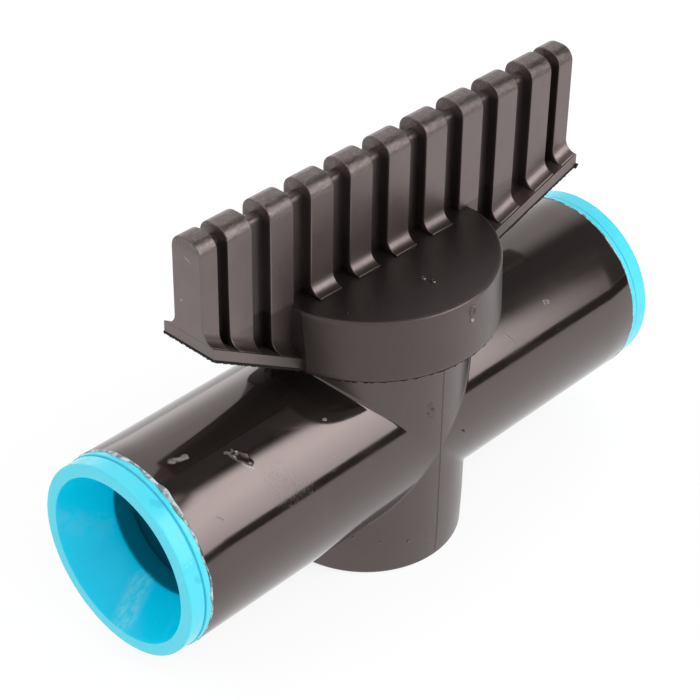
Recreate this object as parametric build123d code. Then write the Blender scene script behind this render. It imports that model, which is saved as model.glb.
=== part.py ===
from build123d import *

import os
from math import cos, radians, sin

# Flow line and housing, in millimetres. The foot of the well is at z = 0.
ARM_R = 14.0            # outside radius of the arms and of the upright well
AXIS_Z = 19.2           # height of the flow axis
ARM_END = 42.8          # |x| where the black arm stops and the collar starts
COLLAR_END = 46.3       # |x| of the collar's front lip
WELL_FOOT_R = 13.85     # the moulding draft narrows the well below the arms
WELL_FOOT_FILLET = 0.9
NECK_TOP = 41.2
POCKET_R = 10.6         # vertical bore that holds the ball and the bonnet
POCKET_FLOOR = 3.5
SOCKET_R = 11.9         # bore of an arm, for the collar's sleeve
SOCKET_DEPTH_X = 25.5   # |x| of the shoulder the tube stops at
THROAT_BORE_R = 8.4     # bore between that shoulder and the seat
THROAT_BORE_X = 15.6
SEAM_WIDTH = 0.3        # raised mould seam down the front and back of the well
SEAM_PROUD = 0.12

# Compression collars.
SLEEVE_R = 11.85
SLEEVE_END = 27.0
COLLAR_R = 13.8
COLLAR_SHOULDER_R = 13.95
COLLAR_SHOULDER_LENGTH = 0.9
COLLAR_GROOVE = 0.25
MOUTH_R = 11.95
THROAT_X = 39.1
TUBE_BORE_R = 8.95      # takes tube of 17.8 mm (0.700 inch) outside diameter
TUBE_LAND = 3.0
SLEEVE_BORE_R = 9.7
BEAD_PROUD = 0.2        # cured adhesive squeezed out of the seam
BEAD_WIDTH = 0.7

# Ball, seats and cages.
BALL_R = 8.6
BALL_BORE_R = 5.3
BALL_SLOT_WIDTH = 2.7
BALL_SLOT_DEPTH = 2.2
SEAT_GAP = 0.03
SEAT_R = 7.7
SEAT_FRONT = 5.2
SEAT_BACK = 11.2
SEAT_POCKET_R = 7.8
SEAT_POCKET_X = 12.6
SEAT_RING_MAJOR = 6.7
SEAT_RING_MINOR = 0.62
CAGE_R = 10.5
CAGE_SPLIT = 0.15       # half the gap between the two cage halves
CAGE_TOP = 30.8
CAGE_BALL_R = 9.0
STEM_WELL_R = 6.8

# Stem and bonnet.
TANG_THICKNESS = 2.6
TANG_WIDTH = 8.0
TANG_FOOT = 6.5         # above the flow axis
SHOULDER_Z = 28.3
SHOULDER_R = 6.4
SHAFT_Z = 30.3
SHAFT_R = 4.0
SQUARE_Z = 39.2
SQUARE_SIDE = 5.6
STEM_TOP = 44.4
STEM_GROOVE_R = 2.9
STEM_GROOVE_WIDTH = 1.4
STEM_GROOVES_Z = {"lower": 33.0, "upper": 35.8}
STEM_RING_MAJOR = 3.475
STEM_RING_MINOR = 0.565
BONNET_Z = 30.9
BONNET_TOP = 38.9
BONNET_R = 10.5
BONNET_BORE_R = 4.05
BONNET_GROOVE_Z = 34.2
BONNET_GROOVE_R = 9.2
BONNET_GROOVE_WIDTH = 1.8
BONNET_RING_MAJOR = 9.9
BONNET_RING_MINOR = 0.68
SNAP_Z = 37.6           # middle of the bead that snaps into the neck
SNAP_R = 10.95
SNAP_HEIGHT = 0.8
SNAP_GAP = 0.1
WASHER_Z = 30.35
WASHER_THICKNESS = 0.5

# Quarter-turn stops and the rim that keeps the handle on.
RIM_R = 14.6
RIM_Z = 39.4
LUG_R = 15.0
LUG_Z = 37.8
TAB_R = 14.25
TAB_TOP = 39.1
STOP_SPAN = 44.5        # degrees covered by each lug and each tab
STOP_TURN = 45.0        # tabs stand this far clockwise of the lugs when open

# Handle.
CAP_Z = 36.4
CAP_TOP = 45.4
CAP_FOOT_R = 18.0
CAP_TOP_R = 17.7
CAP_FLAT_X = 17.2       # the cap is trimmed flat where the wings leave it
CAP_EDGE_FILLET = 0.4
CAVITY_R = 15.3
CAVITY_TOP = 43.5
BOSS_R = 6.6
BOSS_Z = 39.3
SQUARE_CLEARANCE = 0.1
SOCKET_TOP = 44.6
BLADE_MIDDLE_X = 2.8    # the blade sits off-centre on its cap
BLADE_LENGTH = 71.0
BLADE_TOP = 61.7
BLADE_THICKNESS = 5.04
BLADE_TOP_FILLET = 2.0
WEB_THICKNESS = 2.1
WEB_TOP = 60.2
WEB_TOP_FILLET = 0.8
RIB_COUNT = 11
RIB_PITCH = 7.19
RIB_WIDTH = 4.1
END_RIB_WIDTH = 2.95
FOOT_RADIUS = 1.7
WING_ROOT_X = 17.2
LEFT_ROOT_Z = 38.3      # top of each wing flange beside the cap
LEFT_TIP_Z = 47.7       # and at its tip
RIGHT_ROOT_Z = 39.3
RIGHT_TIP_Z = 45.6
WING_INSET = 1.0        # how far each wing runs into the cap
WING_THICKNESS = 1.85   # measured upright
WING_WIDTH = 9.0


def upright(radius, low, high):
    """A cylinder about the stem axis between two heights."""
    middle = (low + high) / 2
    return Pos(0, 0, middle) * Cylinder(radius, high - low)


def along_flow(radius, start, end):
    """A cylinder about the flow axis between two stations."""
    middle = (start + end) / 2
    return Pos(middle, 0, AXIS_Z) * Rot(0, 90, 0) * Cylinder(radius, end - start)


def ball_at_centre(radius):
    """A sphere on the flow axis, its poles along the flow."""
    return Pos(0, 0, AXIS_Z) * Rot(0, 90, 0) * Sphere(radius)


def block(low, high):
    """An axis-aligned box from its low corner to its high corner."""
    size = [b - a for a, b in zip(low, high)]
    centre = [(a + b) / 2 for a, b in zip(low, high)]
    return Pos(*centre) * Box(*size)


def sector(inner, outer, low, high, middle_deg):
    """Part of an upright ring, STOP_SPAN wide about a direction."""
    reach = 2 * outer
    corners = [(0, 0)]
    for step in (-0.5, 0.0, 0.5):
        angle = radians(middle_deg + step * STOP_SPAN)
        corners.append((reach * cos(angle), reach * sin(angle)))
    outline = make_face(Polyline(*corners, close=True))
    wedge = Pos(0, 0, low) * extrude(outline, amount=high - low)
    ring = upright(outer, low, high) - upright(inner, low, high)
    return ring & wedge


def mirrored(shape):
    return mirror(shape, about=Plane.YZ)


def arm_cuts():
    """The stepped bore of the right arm, out to its open end."""
    cuts = along_flow(SOCKET_R, SOCKET_DEPTH_X, ARM_END + 1)
    cuts += along_flow(THROAT_BORE_R, THROAT_BORE_X, SOCKET_DEPTH_X + 1)
    cuts += along_flow(SEAT_POCKET_R, 0, SEAT_POCKET_X)
    cuts += along_flow(BALL_BORE_R, 0, THROAT_BORE_X + 1)
    return cuts


def well():
    taper_top = AXIS_Z - ARM_R - 0.2
    foot = Cone(WELL_FOOT_R, ARM_R, taper_top)
    foot = Pos(0, 0, taper_top / 2) * foot
    foot = fillet(foot.edges().group_by(Axis.Z)[0], WELL_FOOT_FILLET)
    return foot + upright(ARM_R, taper_top, RIM_Z)


def make_body():
    seam_half = ARM_R + SEAM_PROUD
    shape = well()
    shape += upright(RIM_R, RIM_Z, NECK_TOP)
    shape += along_flow(ARM_R, -ARM_END, ARM_END)
    shape += block(
        (-SEAM_WIDTH / 2, -seam_half, AXIS_Z - ARM_R),
        (SEAM_WIDTH / 2, seam_half, CAP_Z),
    )
    for direction in (0, 180):
        shape += sector(ARM_R - 0.5, LUG_R, LUG_Z, RIM_Z + 0.5, direction)
    snap_half = SNAP_HEIGHT / 2 + SNAP_GAP
    shape -= upright(POCKET_R, POCKET_FLOOR, NECK_TOP + 1)
    shape -= upright(SNAP_R + SNAP_GAP, SNAP_Z - snap_half, SNAP_Z + snap_half)
    shape -= arm_cuts()
    shape -= mirrored(arm_cuts())
    return shape


def make_collar():
    """The right-hand collar: lip, funnel mouth, sharp throat and sleeve."""
    shoulder_end = ARM_END + COLLAR_SHOULDER_LENGTH
    groove_end = shoulder_end + COLLAR_GROOVE
    shape = along_flow(SLEEVE_R, SLEEVE_END, ARM_END)
    shape += along_flow(COLLAR_SHOULDER_R, ARM_END, shoulder_end)
    shape += along_flow(COLLAR_R - COLLAR_GROOVE, shoulder_end, groove_end)
    lip = along_flow(COLLAR_R, groove_end, COLLAR_END)
    shape += fillet(lip.edges().group_by(Axis.X)[-1], 0.3)
    depth = COLLAR_END - THROAT_X
    funnel = Cone(TUBE_BORE_R, MOUTH_R, depth)
    shape -= Pos((COLLAR_END + THROAT_X) / 2, 0, AXIS_Z) * Rot(0, 90, 0) * funnel
    shape -= along_flow(TUBE_BORE_R, SLEEVE_END - 1, THROAT_X + 0.01)
    shape -= along_flow(SLEEVE_BORE_R, SLEEVE_END - 1, THROAT_X - TUBE_LAND)
    return shape


def make_bead():
    """Adhesive squeezed out where the right-hand collar meets its arm."""
    gap = 0.02
    start = ARM_END - BEAD_WIDTH / 2
    outer = along_flow(ARM_R + BEAD_PROUD, start, start + BEAD_WIDTH)
    return outer - along_flow(ARM_R + gap, start - 1, start + BEAD_WIDTH + 1)


def make_cage():
    """Right half of the filler that keeps the ball and seats in line."""
    shape = upright(CAGE_R, POCKET_FLOOR + 0.1, CAGE_TOP)
    shape &= block((CAGE_SPLIT, -CAGE_R, 0), (CAGE_R, CAGE_R, CAGE_TOP))
    shape -= ball_at_centre(CAGE_BALL_R)
    shape -= along_flow(SEAT_POCKET_R, 0, CAGE_R + 1)
    shape -= upright(STEM_WELL_R, AXIS_Z, CAGE_TOP + 1)
    return shape


def make_seat():
    shape = along_flow(SEAT_R, SEAT_FRONT, SEAT_BACK)
    shape -= along_flow(BALL_BORE_R, SEAT_FRONT - 1, SEAT_BACK + 1)
    shape -= ball_at_centre(BALL_R + SEAT_GAP)
    return shape


def make_seat_ring():
    middle = (SEAT_BACK + SEAT_POCKET_X) / 2
    return Pos(middle, 0, AXIS_Z) * Rot(0, 90, 0) * Torus(SEAT_RING_MAJOR, SEAT_RING_MINOR)


def make_ball():
    slot_half = BALL_SLOT_WIDTH / 2
    slot_floor = AXIS_Z + BALL_R - BALL_SLOT_DEPTH
    shape = ball_at_centre(BALL_R)
    shape -= along_flow(BALL_BORE_R, -BALL_R - 1, BALL_R + 1)
    shape -= block(
        (-slot_half, -BALL_R, slot_floor),
        (slot_half, BALL_R, slot_floor + BALL_R),
    )
    return shape


def make_stem():
    tang_half = TANG_THICKNESS / 2
    shape = block(
        (-tang_half, -TANG_WIDTH / 2, AXIS_Z + TANG_FOOT),
        (tang_half, TANG_WIDTH / 2, SHOULDER_Z + 0.5),
    )
    shape += upright(SHOULDER_R, SHOULDER_Z, SHAFT_Z)
    shape += upright(SHAFT_R, SHAFT_Z, SQUARE_Z)
    half = SQUARE_SIDE / 2
    shape += block((-half, -half, SQUARE_Z), (half, half, STEM_TOP))
    for height in STEM_GROOVES_Z.values():
        low = height - STEM_GROOVE_WIDTH / 2
        high = height + STEM_GROOVE_WIDTH / 2
        shape -= upright(SHAFT_R + 1, low, high) - upright(STEM_GROOVE_R, low, high)
    return shape


def make_stem_ring(height):
    return Pos(0, 0, height) * Torus(STEM_RING_MAJOR, STEM_RING_MINOR)


def make_washer():
    top = WASHER_Z + WASHER_THICKNESS
    return upright(SHOULDER_R, WASHER_Z, top) - upright(BONNET_BORE_R, WASHER_Z, top)


def make_bonnet():
    low = BONNET_GROOVE_Z - BONNET_GROOVE_WIDTH / 2
    high = BONNET_GROOVE_Z + BONNET_GROOVE_WIDTH / 2
    shape = upright(BONNET_R, BONNET_Z, BONNET_TOP)
    shape += upright(SNAP_R, SNAP_Z - SNAP_HEIGHT / 2, SNAP_Z + SNAP_HEIGHT / 2)
    shape -= upright(BONNET_R + 1, low, high) - upright(BONNET_GROOVE_R, low, high)
    shape -= upright(BONNET_BORE_R, BONNET_Z - 1, BONNET_TOP + 1)
    return shape


def make_bonnet_ring():
    return Pos(0, 0, BONNET_GROOVE_Z) * Torus(BONNET_RING_MAJOR, BONNET_RING_MINOR)


def rib_spans():
    """Start and end of every rib along the blade, left to right."""
    start = BLADE_MIDDLE_X - BLADE_LENGTH / 2
    end = BLADE_MIDDLE_X + BLADE_LENGTH / 2
    spans = [(start, start + END_RIB_WIDTH)]
    inner = RIB_COUNT - 2
    for index in range(inner):
        middle = BLADE_MIDDLE_X + (index - (inner - 1) / 2) * RIB_PITCH
        spans.append((middle - RIB_WIDTH / 2, middle + RIB_WIDTH / 2))
    spans.append((end - END_RIB_WIDTH, end))
    return spans


def blade_slab(thickness, top, top_fillet):
    """The blade's side outline, as thick as asked, rounded along its top."""
    start = BLADE_MIDDLE_X - BLADE_LENGTH / 2
    end = BLADE_MIDDLE_X + BLADE_LENGTH / 2
    outline = Polyline(
        (start, top),
        (start, LEFT_TIP_Z - WING_THICKNESS),
        (-WING_ROOT_X, LEFT_ROOT_Z - WING_THICKNESS),
        (WING_ROOT_X, RIGHT_ROOT_Z - WING_THICKNESS),
        (end, RIGHT_TIP_Z - WING_THICKNESS),
        (end, top),
        close=True,
    )
    face = Plane.XZ * make_face(outline)
    slab = extrude(face, amount=thickness / 2, both=True)
    return fillet(slab.edges().filter_by(Axis.X).group_by(Axis.Z)[-1], top_fillet)


def foot_strip(start, end):
    """Concave feet along a line from start to end, each an (x, z) pair."""
    run = Vector(end[0] - start[0], 0, end[1] - start[1])
    side = BLADE_THICKNESS / 2
    corner = side + FOOT_RADIUS
    section = make_face(Polyline((0, -1), (corner, -1), (corner, FOOT_RADIUS), (0, FOOT_RADIUS), close=True))
    section -= Pos(corner, FOOT_RADIUS) * Circle(FOOT_RADIUS)
    section += mirror(section, about=Plane.YZ)
    frame = Plane(origin=(start[0], 0, start[1]), x_dir=(0, 1, 0), z_dir=run)
    return extrude(frame * section, amount=run.length)


def wing(tip, root, inset):
    """The sloping flange under one end of the blade; tip and root are (x, z)."""
    top = [tip, root, (root[0] + inset, root[1])]
    under = [(x, z - WING_THICKNESS) for x, z in reversed(top)]
    outline = Polyline(*top, *under, close=True)
    face = Plane.XZ * make_face(outline)
    return extrude(face, amount=WING_WIDTH / 2, both=True)


def make_blade():
    start = BLADE_MIDDLE_X - BLADE_LENGTH / 2
    end = BLADE_MIDDLE_X + BLADE_LENGTH / 2
    left_tip, right_tip = (start, LEFT_TIP_Z), (end, RIGHT_TIP_Z)
    left_root, right_root = (-WING_ROOT_X, LEFT_ROOT_Z), (WING_ROOT_X, RIGHT_ROOT_Z)
    feet = foot_strip(left_root, left_tip)
    feet += foot_strip(right_root, right_tip)
    feet += foot_strip((-WING_ROOT_X, CAP_TOP), (WING_ROOT_X, CAP_TOP))
    comb = Part()
    for low, high in rib_spans():
        comb += block((low, -WING_WIDTH, CAP_Z), (high, WING_WIDTH, BLADE_TOP + 1))
    ribs = (blade_slab(BLADE_THICKNESS, BLADE_TOP, BLADE_TOP_FILLET) + feet) & comb
    web = blade_slab(WEB_THICKNESS, WEB_TOP, WEB_TOP_FILLET)
    wings = wing(left_tip, left_root, WING_INSET) + wing(right_tip, right_root, -WING_INSET)
    return ribs + web + wings


def make_cap():
    height = CAP_TOP - CAP_Z
    cap = Pos(0, 0, (CAP_Z + CAP_TOP) / 2) * Cone(CAP_FOOT_R, CAP_TOP_R, height)
    cap &= block((-CAP_FLAT_X, -CAP_FOOT_R, CAP_Z), (CAP_FLAT_X, CAP_FOOT_R, CAP_TOP))
    return fillet(cap.edges().group_by(Axis.Z)[-1], CAP_EDGE_FILLET)


def make_handle():
    shape = make_cap() + make_blade()
    shape -= upright(CAVITY_R, CAP_Z - 1, CAVITY_TOP)
    shape += upright(BOSS_R, BOSS_Z, CAVITY_TOP + 0.5)
    half = SQUARE_SIDE / 2 + SQUARE_CLEARANCE / 2
    shape -= block((-half, -half, BOSS_Z - 1), (half, half, SOCKET_TOP))
    for direction in (-STOP_TURN, 180 - STOP_TURN):
        shape += sector(TAB_R, CAVITY_R + 0.3, LUG_Z, TAB_TOP, direction)
    return shape


def build_nodes():
    nodes = {
        "body": make_body(),
        "ball": make_ball(),
        "stem": make_stem(),
        "thrust_washer": make_washer(),
        "bonnet": make_bonnet(),
        "bonnet_oring": make_bonnet_ring(),
        "handle": make_handle(),
    }
    for place, height in STEM_GROOVES_Z.items():
        nodes[f"stem_oring_{place}"] = make_stem_ring(height)
    paired = {
        "collar": make_collar,
        "bond_bead": make_bead,
        "cage": make_cage,
        "seat": make_seat,
        "seat_oring": make_seat_ring,
    }
    for name, make in paired.items():
        right = make()
        nodes[f"{name}_right"] = right
        nodes[f"{name}_left"] = mirrored(right)
    return nodes


os.makedirs("parts", exist_ok=True)
for node, shape in build_nodes().items():
    export_step(shape, f"parts/{node}.step")
    print(node, "solids", len(shape.solids()), "volume", round(shape.volume, 1))
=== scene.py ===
from math import atan2, cos, pi, radians, sin, sqrt

import bmesh
import bpy
import numpy as np
from bpy.props import (
    FloatProperty,
    FloatVectorProperty,
    IntProperty,
    PointerProperty,
)
from mathutils import Matrix, Vector


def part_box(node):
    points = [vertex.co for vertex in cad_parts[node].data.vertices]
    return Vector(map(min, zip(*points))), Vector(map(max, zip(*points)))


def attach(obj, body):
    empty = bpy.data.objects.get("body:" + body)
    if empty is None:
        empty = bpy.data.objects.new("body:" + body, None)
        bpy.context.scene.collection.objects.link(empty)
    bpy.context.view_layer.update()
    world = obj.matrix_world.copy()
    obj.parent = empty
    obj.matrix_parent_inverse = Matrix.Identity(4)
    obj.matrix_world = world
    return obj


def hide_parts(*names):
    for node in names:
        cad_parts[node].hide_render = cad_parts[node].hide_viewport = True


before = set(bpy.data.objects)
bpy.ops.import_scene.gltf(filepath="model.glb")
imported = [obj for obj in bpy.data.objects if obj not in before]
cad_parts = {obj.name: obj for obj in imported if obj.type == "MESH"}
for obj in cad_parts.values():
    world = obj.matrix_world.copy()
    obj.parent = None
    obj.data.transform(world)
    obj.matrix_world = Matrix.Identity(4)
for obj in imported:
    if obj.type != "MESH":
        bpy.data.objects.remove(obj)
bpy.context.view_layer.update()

bl_info = {
    "name": "Quarter-turn pipe valve",
    "version": (1, 0, 0),
    "blender": (4, 5, 0),
    "location": "3D View > Sidebar > Valve",
    "description": "Builds a moulded ball valve for push-in tube, with its comb handle",
    "category": "Object",
}

MM = 0.001
WARM = (1.0, 0.82, 0.80, 1.0)
HOUSING_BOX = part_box("body")
HANDLE_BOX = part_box("handle")
COLLAR_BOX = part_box("collar_right")
COLLAR_FRONT = COLLAR_BOX[1].x / MM
ARM_END = HOUSING_BOX[1].x / MM
HANDLE_TOP = HANDLE_BOX[1].z / MM
HANDLE_FOOT = HANDLE_BOX[0].z / MM
BLADE_LEFT = HANDLE_BOX[0].x / MM
BLADE_RIGHT = HANDLE_BOX[1].x / MM
AXIS_HEIGHT = (COLLAR_BOX[0].z + COLLAR_BOX[1].z) / 2 / MM


# ---------------------------------------------------------------- settings

def length(name, description, default, low=0.0, high=0.2):
    return FloatProperty(name=name, description=description, default=default * MM,
                         min=low, max=high, unit="LENGTH", precision=5)


def share(name, description, default, low=0.0, high=1.0):
    return FloatProperty(name=name, description=description, default=default,
                         min=low, max=high, subtype="FACTOR")


def paint(name, description, default):
    return FloatVectorProperty(name=name, description=description, default=default,
                               size=3, min=0.0, max=1.0, subtype="COLOR")


class HousingSettings(bpy.types.PropertyGroup):
    arm_radius: length("Arm radius", "Outside radius of the arms and the well", 14.0)
    blend: length("Blend", "Size of the soft corner where the arms leave the well", 0.45)
    seam_proud: length("Seam", "Height of the mould seam on the well", 0.12)
    foot_round: length("Foot rounding", "Rounding under the well", 0.45)
    gloss_colour: paint("Arm colour", "Black of the polished arms", (0.0140, 0.0110, 0.0098))
    satin_colour: paint("Well colour", "Black of the plain moulded well", (0.0160, 0.0126, 0.0116))
    gloss: share("Arm roughness", "Roughness of the polished arms", 0.09)
    satin: share("Well roughness", "Roughness of the well", 0.27)


class CollarSettings(bpy.types.PropertyGroup):
    lip_round: length("Lip rounding", "Rounding of the front lip", 0.3)
    colour: paint("Collar colour", "Cyan of the tube collars", (0.0, 0.72, 1.0))
    # Painted highlight: the lip and the outside of the collar get a paler cyan for the light they catch.
    lip_highlight_colour: paint("Lip colour", "Paler cyan of the lip and outside", (0.10, 0.72, 0.88))
    # Painted shade: the bore behind the throat gets a deep teal for the shade inside the arm.
    throat_shade_colour: paint("Throat colour", "Deep teal behind the throat", (0.0, 0.21, 0.29))
    roughness: share("Collar roughness", "Roughness of the collars", 0.16)


class BeadSettings(bpy.types.PropertyGroup):
    proud: length("Bead height", "How far the cured adhesive stands out", 0.16)
    width: length("Bead width", "Width of the adhesive along the arm", 0.5)
    seed: IntProperty(name="Bead seed", description="Chooses the run of lumps", default=4, min=0)
    colour: paint("Adhesive colour", "Milky colour of the cured adhesive", (0.62, 0.68, 0.70))


class HandleSettings(bpy.types.PropertyGroup):
    rib_count: IntProperty(name="Ribs", description="Ribs along the blade", default=11, min=3, max=41)
    rib_pitch: length("Rib pitch", "Distance between the middles of the ribs", 7.19)
    rib_width: length("Rib width", "Width of a rib along the blade", 4.1)
    end_rib_width: length("End rib width", "Width of the first and last rib", 2.95)
    rib_thickness: length("Rib thickness", "Thickness of the blade over its ribs", 5.04)
    web_thickness: length("Web thickness", "Thickness of the blade between ribs", 2.1)
    web_drop: length("Web drop", "How far the web stops below the ribs", 1.5)
    top_round: length("Top rounding", "Rounding along the top of the ribs", 2.0)
    foot_round: length("Foot radius", "Hollow radius at the foot of a rib", 1.7)
    edge_round: length("Edge rounding", "Small rounding on every edge", 0.16)
    colour: paint("Handle colour", "Warm black of the handle", (0.018, 0.0135, 0.0125))
    roughness: share("Handle roughness", "Roughness of the handle", 0.34)
    rub: share("Handle rub", "Extra shine where the handle is held", 0.28)


class InnerSettings(bpy.types.PropertyGroup):
    ball_colour: paint("Ball colour", "Polished plastic ball", (0.80, 0.80, 0.77))
    stem_colour: paint("Stem colour", "Natural plastic stem", (0.76, 0.74, 0.67))
    seat_colour: paint("Seat colour", "Slippery white seats and washer", (0.86, 0.86, 0.83))
    core_colour: paint("Core colour", "Black cages and bonnet", (0.030, 0.029, 0.029))
    seal_colour: paint("Seal colour", "Black rubber rings", (0.016, 0.016, 0.016))


class StageSettings(bpy.types.PropertyGroup):
    floor_colour: paint("Floor colour", "Pale floor", (0.86, 0.86, 0.86))
    sky: FloatProperty(name="Sky", description="Brightness all round", default=0.95, min=0.0, max=2.0)
    softbox: FloatProperty(name="Softbox", description="Brightness of the tall softbox", default=4.7, min=0.0)
    lens: FloatProperty(name="Lens", description="Focal length of the camera", default=109.92,
                        min=10.0, unit="CAMERA")
    azimuth: FloatProperty(name="Azimuth", description="Direction the camera stands in",
                           default=radians(-46.967), subtype="ANGLE")
    elevation: FloatProperty(name="Elevation", description="Height of the camera above level",
                             default=radians(35.749), subtype="ANGLE")
    roll: FloatProperty(name="Roll", description="Turn of the camera about its line of sight",
                        default=radians(0.909), subtype="ANGLE")
    distance: length("Distance", "From the camera to the flow axis", 299.23, high=2.0)


# ------------------------------------------------------------ mesh helpers

def piece_from(name, verts, faces):
    """A linked mesh object from corners in millimetres."""
    mesh = bpy.data.meshes.new(name)
    mesh.from_pydata([tuple(c * MM for c in v) for v in verts], [], faces)
    mesh.validate()
    piece = bpy.data.objects.new(name, mesh)
    bpy.context.scene.collection.objects.link(piece)
    return piece


def weld(piece, distance=0.002):
    """Merges corners that meet and turns every face outwards."""
    shape = bmesh.new()
    shape.from_mesh(piece.data)
    bmesh.ops.remove_doubles(shape, verts=shape.verts, dist=distance * MM)
    bmesh.ops.dissolve_degenerate(shape, edges=shape.edges, dist=1e-8)
    bmesh.ops.recalc_face_normals(shape, faces=shape.faces)
    shape.to_mesh(piece.data)
    shape.free()
    return piece


def skin(rows, wrap_rows=False, close_start=False, close_end=False):
    """Quads over rows of points, each row a closed loop of the same count."""
    verts, faces = [], []
    count = len(rows[0])
    for row in rows:
        verts.extend(tuple(p) for p in row)
    spans = len(rows) if wrap_rows else len(rows) - 1
    for r in range(spans):
        a, b = r * count, ((r + 1) % len(rows)) * count
        for c in range(count):
            d = (c + 1) % count
            faces.append((a + c, a + d, b + d, b + c))
    if close_start:
        faces.append(tuple(reversed(range(count))))
    if close_end:
        last = (len(rows) - 1) * count
        faces.append(tuple(range(last, last + count)))
    return verts, faces


def solid_from(name, rows, distance=0.0005):
    """A closed solid over rows of points, flat at both ends."""
    return weld(piece_from(name, *skin(rows, close_start=True, close_end=True)), distance)


def hoop_from(name, rows, distance=0.002):
    """A closed ring over rows of points, the last joined to the first."""
    return weld(piece_from(name, *skin(rows, wrap_rows=True)), distance)


def rounded(points, steps=4):
    """A closed profile whose corners (a, b, radius) are turned into arcs."""
    out = []
    total = len(points)
    for i, (a, b, radius) in enumerate(points):
        here = np.array((a, b), float)
        before = np.array(points[i - 1][:2], float)
        after = np.array(points[(i + 1) % total][:2], float)
        if radius <= 0:
            out.append(tuple(here))
            continue
        u, v = before - here, after - here
        u, v = u / np.linalg.norm(u), v / np.linalg.norm(v)
        angle = np.arccos(np.clip(u @ v, -1, 1))
        reach = radius / np.tan(angle / 2)
        middle = here + (u + v) / np.linalg.norm(u + v) * radius / np.sin(angle / 2)
        first, last = here + u * reach - middle, here + v * reach - middle
        turn = pi - angle
        for k in range(steps + 1):
            t = k / steps
            spoke = (np.sin((1 - t) * turn) * first + np.sin(t * turn) * last) / np.sin(turn)
            out.append(tuple(middle + spoke))
    return out


def ring_x(station, radius, segments):
    """A loop about the flow axis."""
    radii = np.broadcast_to(radius, segments)
    return [(station, radii[k] * cos(2 * pi * k / segments),
             AXIS_HEIGHT + radii[k] * sin(2 * pi * k / segments)) for k in range(segments)]


def turned_about_flow(name, profile, segments=192):
    """A closed (station, radius) profile turned about the flow axis."""
    return hoop_from(name, [ring_x(x, r, segments) for x, r in profile])


def mirror_across(piece, name):
    """A copy on the other side of the stem, faces turned back outwards."""
    mesh = piece.data.copy()
    mesh.transform(Matrix.Scale(-1, 4, (1, 0, 0)))
    mesh.flip_normals()
    mesh.name = name
    twin = bpy.data.objects.new(name, mesh)
    bpy.context.scene.collection.objects.link(twin)
    return twin


def smooth(piece, sharp_deg=32):
    piece.data.shade_smooth()
    piece.data.set_sharp_from_angle(angle=radians(sharp_deg))
    return piece


def bake_modifiers(piece):
    """Turns the evaluated piece into its own plain mesh."""
    bpy.context.view_layer.update()
    evaluated = piece.evaluated_get(bpy.context.evaluated_depsgraph_get())
    mesh = bpy.data.meshes.new_from_object(evaluated)
    mesh.name = piece.name
    piece.modifiers.clear()
    piece.data = mesh
    return piece


def soften(piece, width, segments=3, limit_deg=38):
    """Rounds the hard edges of a piece."""
    bevel = piece.modifiers.new("Edge rounding", "BEVEL")
    bevel.width = width * MM
    bevel.segments = segments
    bevel.limit_method = "ANGLE"
    bevel.angle_limit = radians(limit_deg)
    bevel.use_clamp_overlap = True
    bevel.miter_outer = "MITER_ARC"
    return bake_modifiers(piece)


def steady_shading(piece, sharp_deg=48):
    """Large flat faces keep their own shading next to small roundings."""
    smooth(piece, sharp_deg)
    steady = piece.modifiers.new("Face-weighted shading", "WEIGHTED_NORMAL")
    steady.mode = "FACE_AREA"
    steady.weight = 70
    steady.keep_sharp = True
    return bake_modifiers(piece)


def cut(piece, *cutters):
    """Cuts bores out of a piece and throws the cutters away."""
    for cutter in cutters:
        knife = piece.modifiers.new("Bore", "BOOLEAN")
        knife.operation = "DIFFERENCE"
        knife.solver = "EXACT"
        knife.object = cutter
    bake_modifiers(piece)
    for cutter in cutters:
        bpy.data.objects.remove(cutter)
    return piece


def joined(name, pieces):
    """One object out of several shells."""
    shape = bmesh.new()
    for part in pieces:
        shape.from_mesh(part.data)
    mesh = bpy.data.meshes.new(name)
    shape.to_mesh(mesh)
    shape.free()
    for part in pieces:
        bpy.data.objects.remove(part)
    piece = bpy.data.objects.new(name, mesh)
    bpy.context.scene.collection.objects.link(piece)
    return piece


def dress(piece, material):
    piece.data.materials.clear()
    piece.data.materials.append(material)
    return piece


def wobble(angles, seed, waves=14, low=2, high=40):
    """A smooth closed random run around a circle, about zero."""
    draw = np.random.default_rng(seed)
    total = np.zeros_like(angles)
    for _ in range(waves):
        wave = draw.integers(low, high)
        total += np.sin(wave * angles + draw.uniform(0, 2 * pi)) * draw.uniform(0.4, 1.0)
    return total / sqrt(waves)


# --------------------------------------------------------- material helpers

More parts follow.
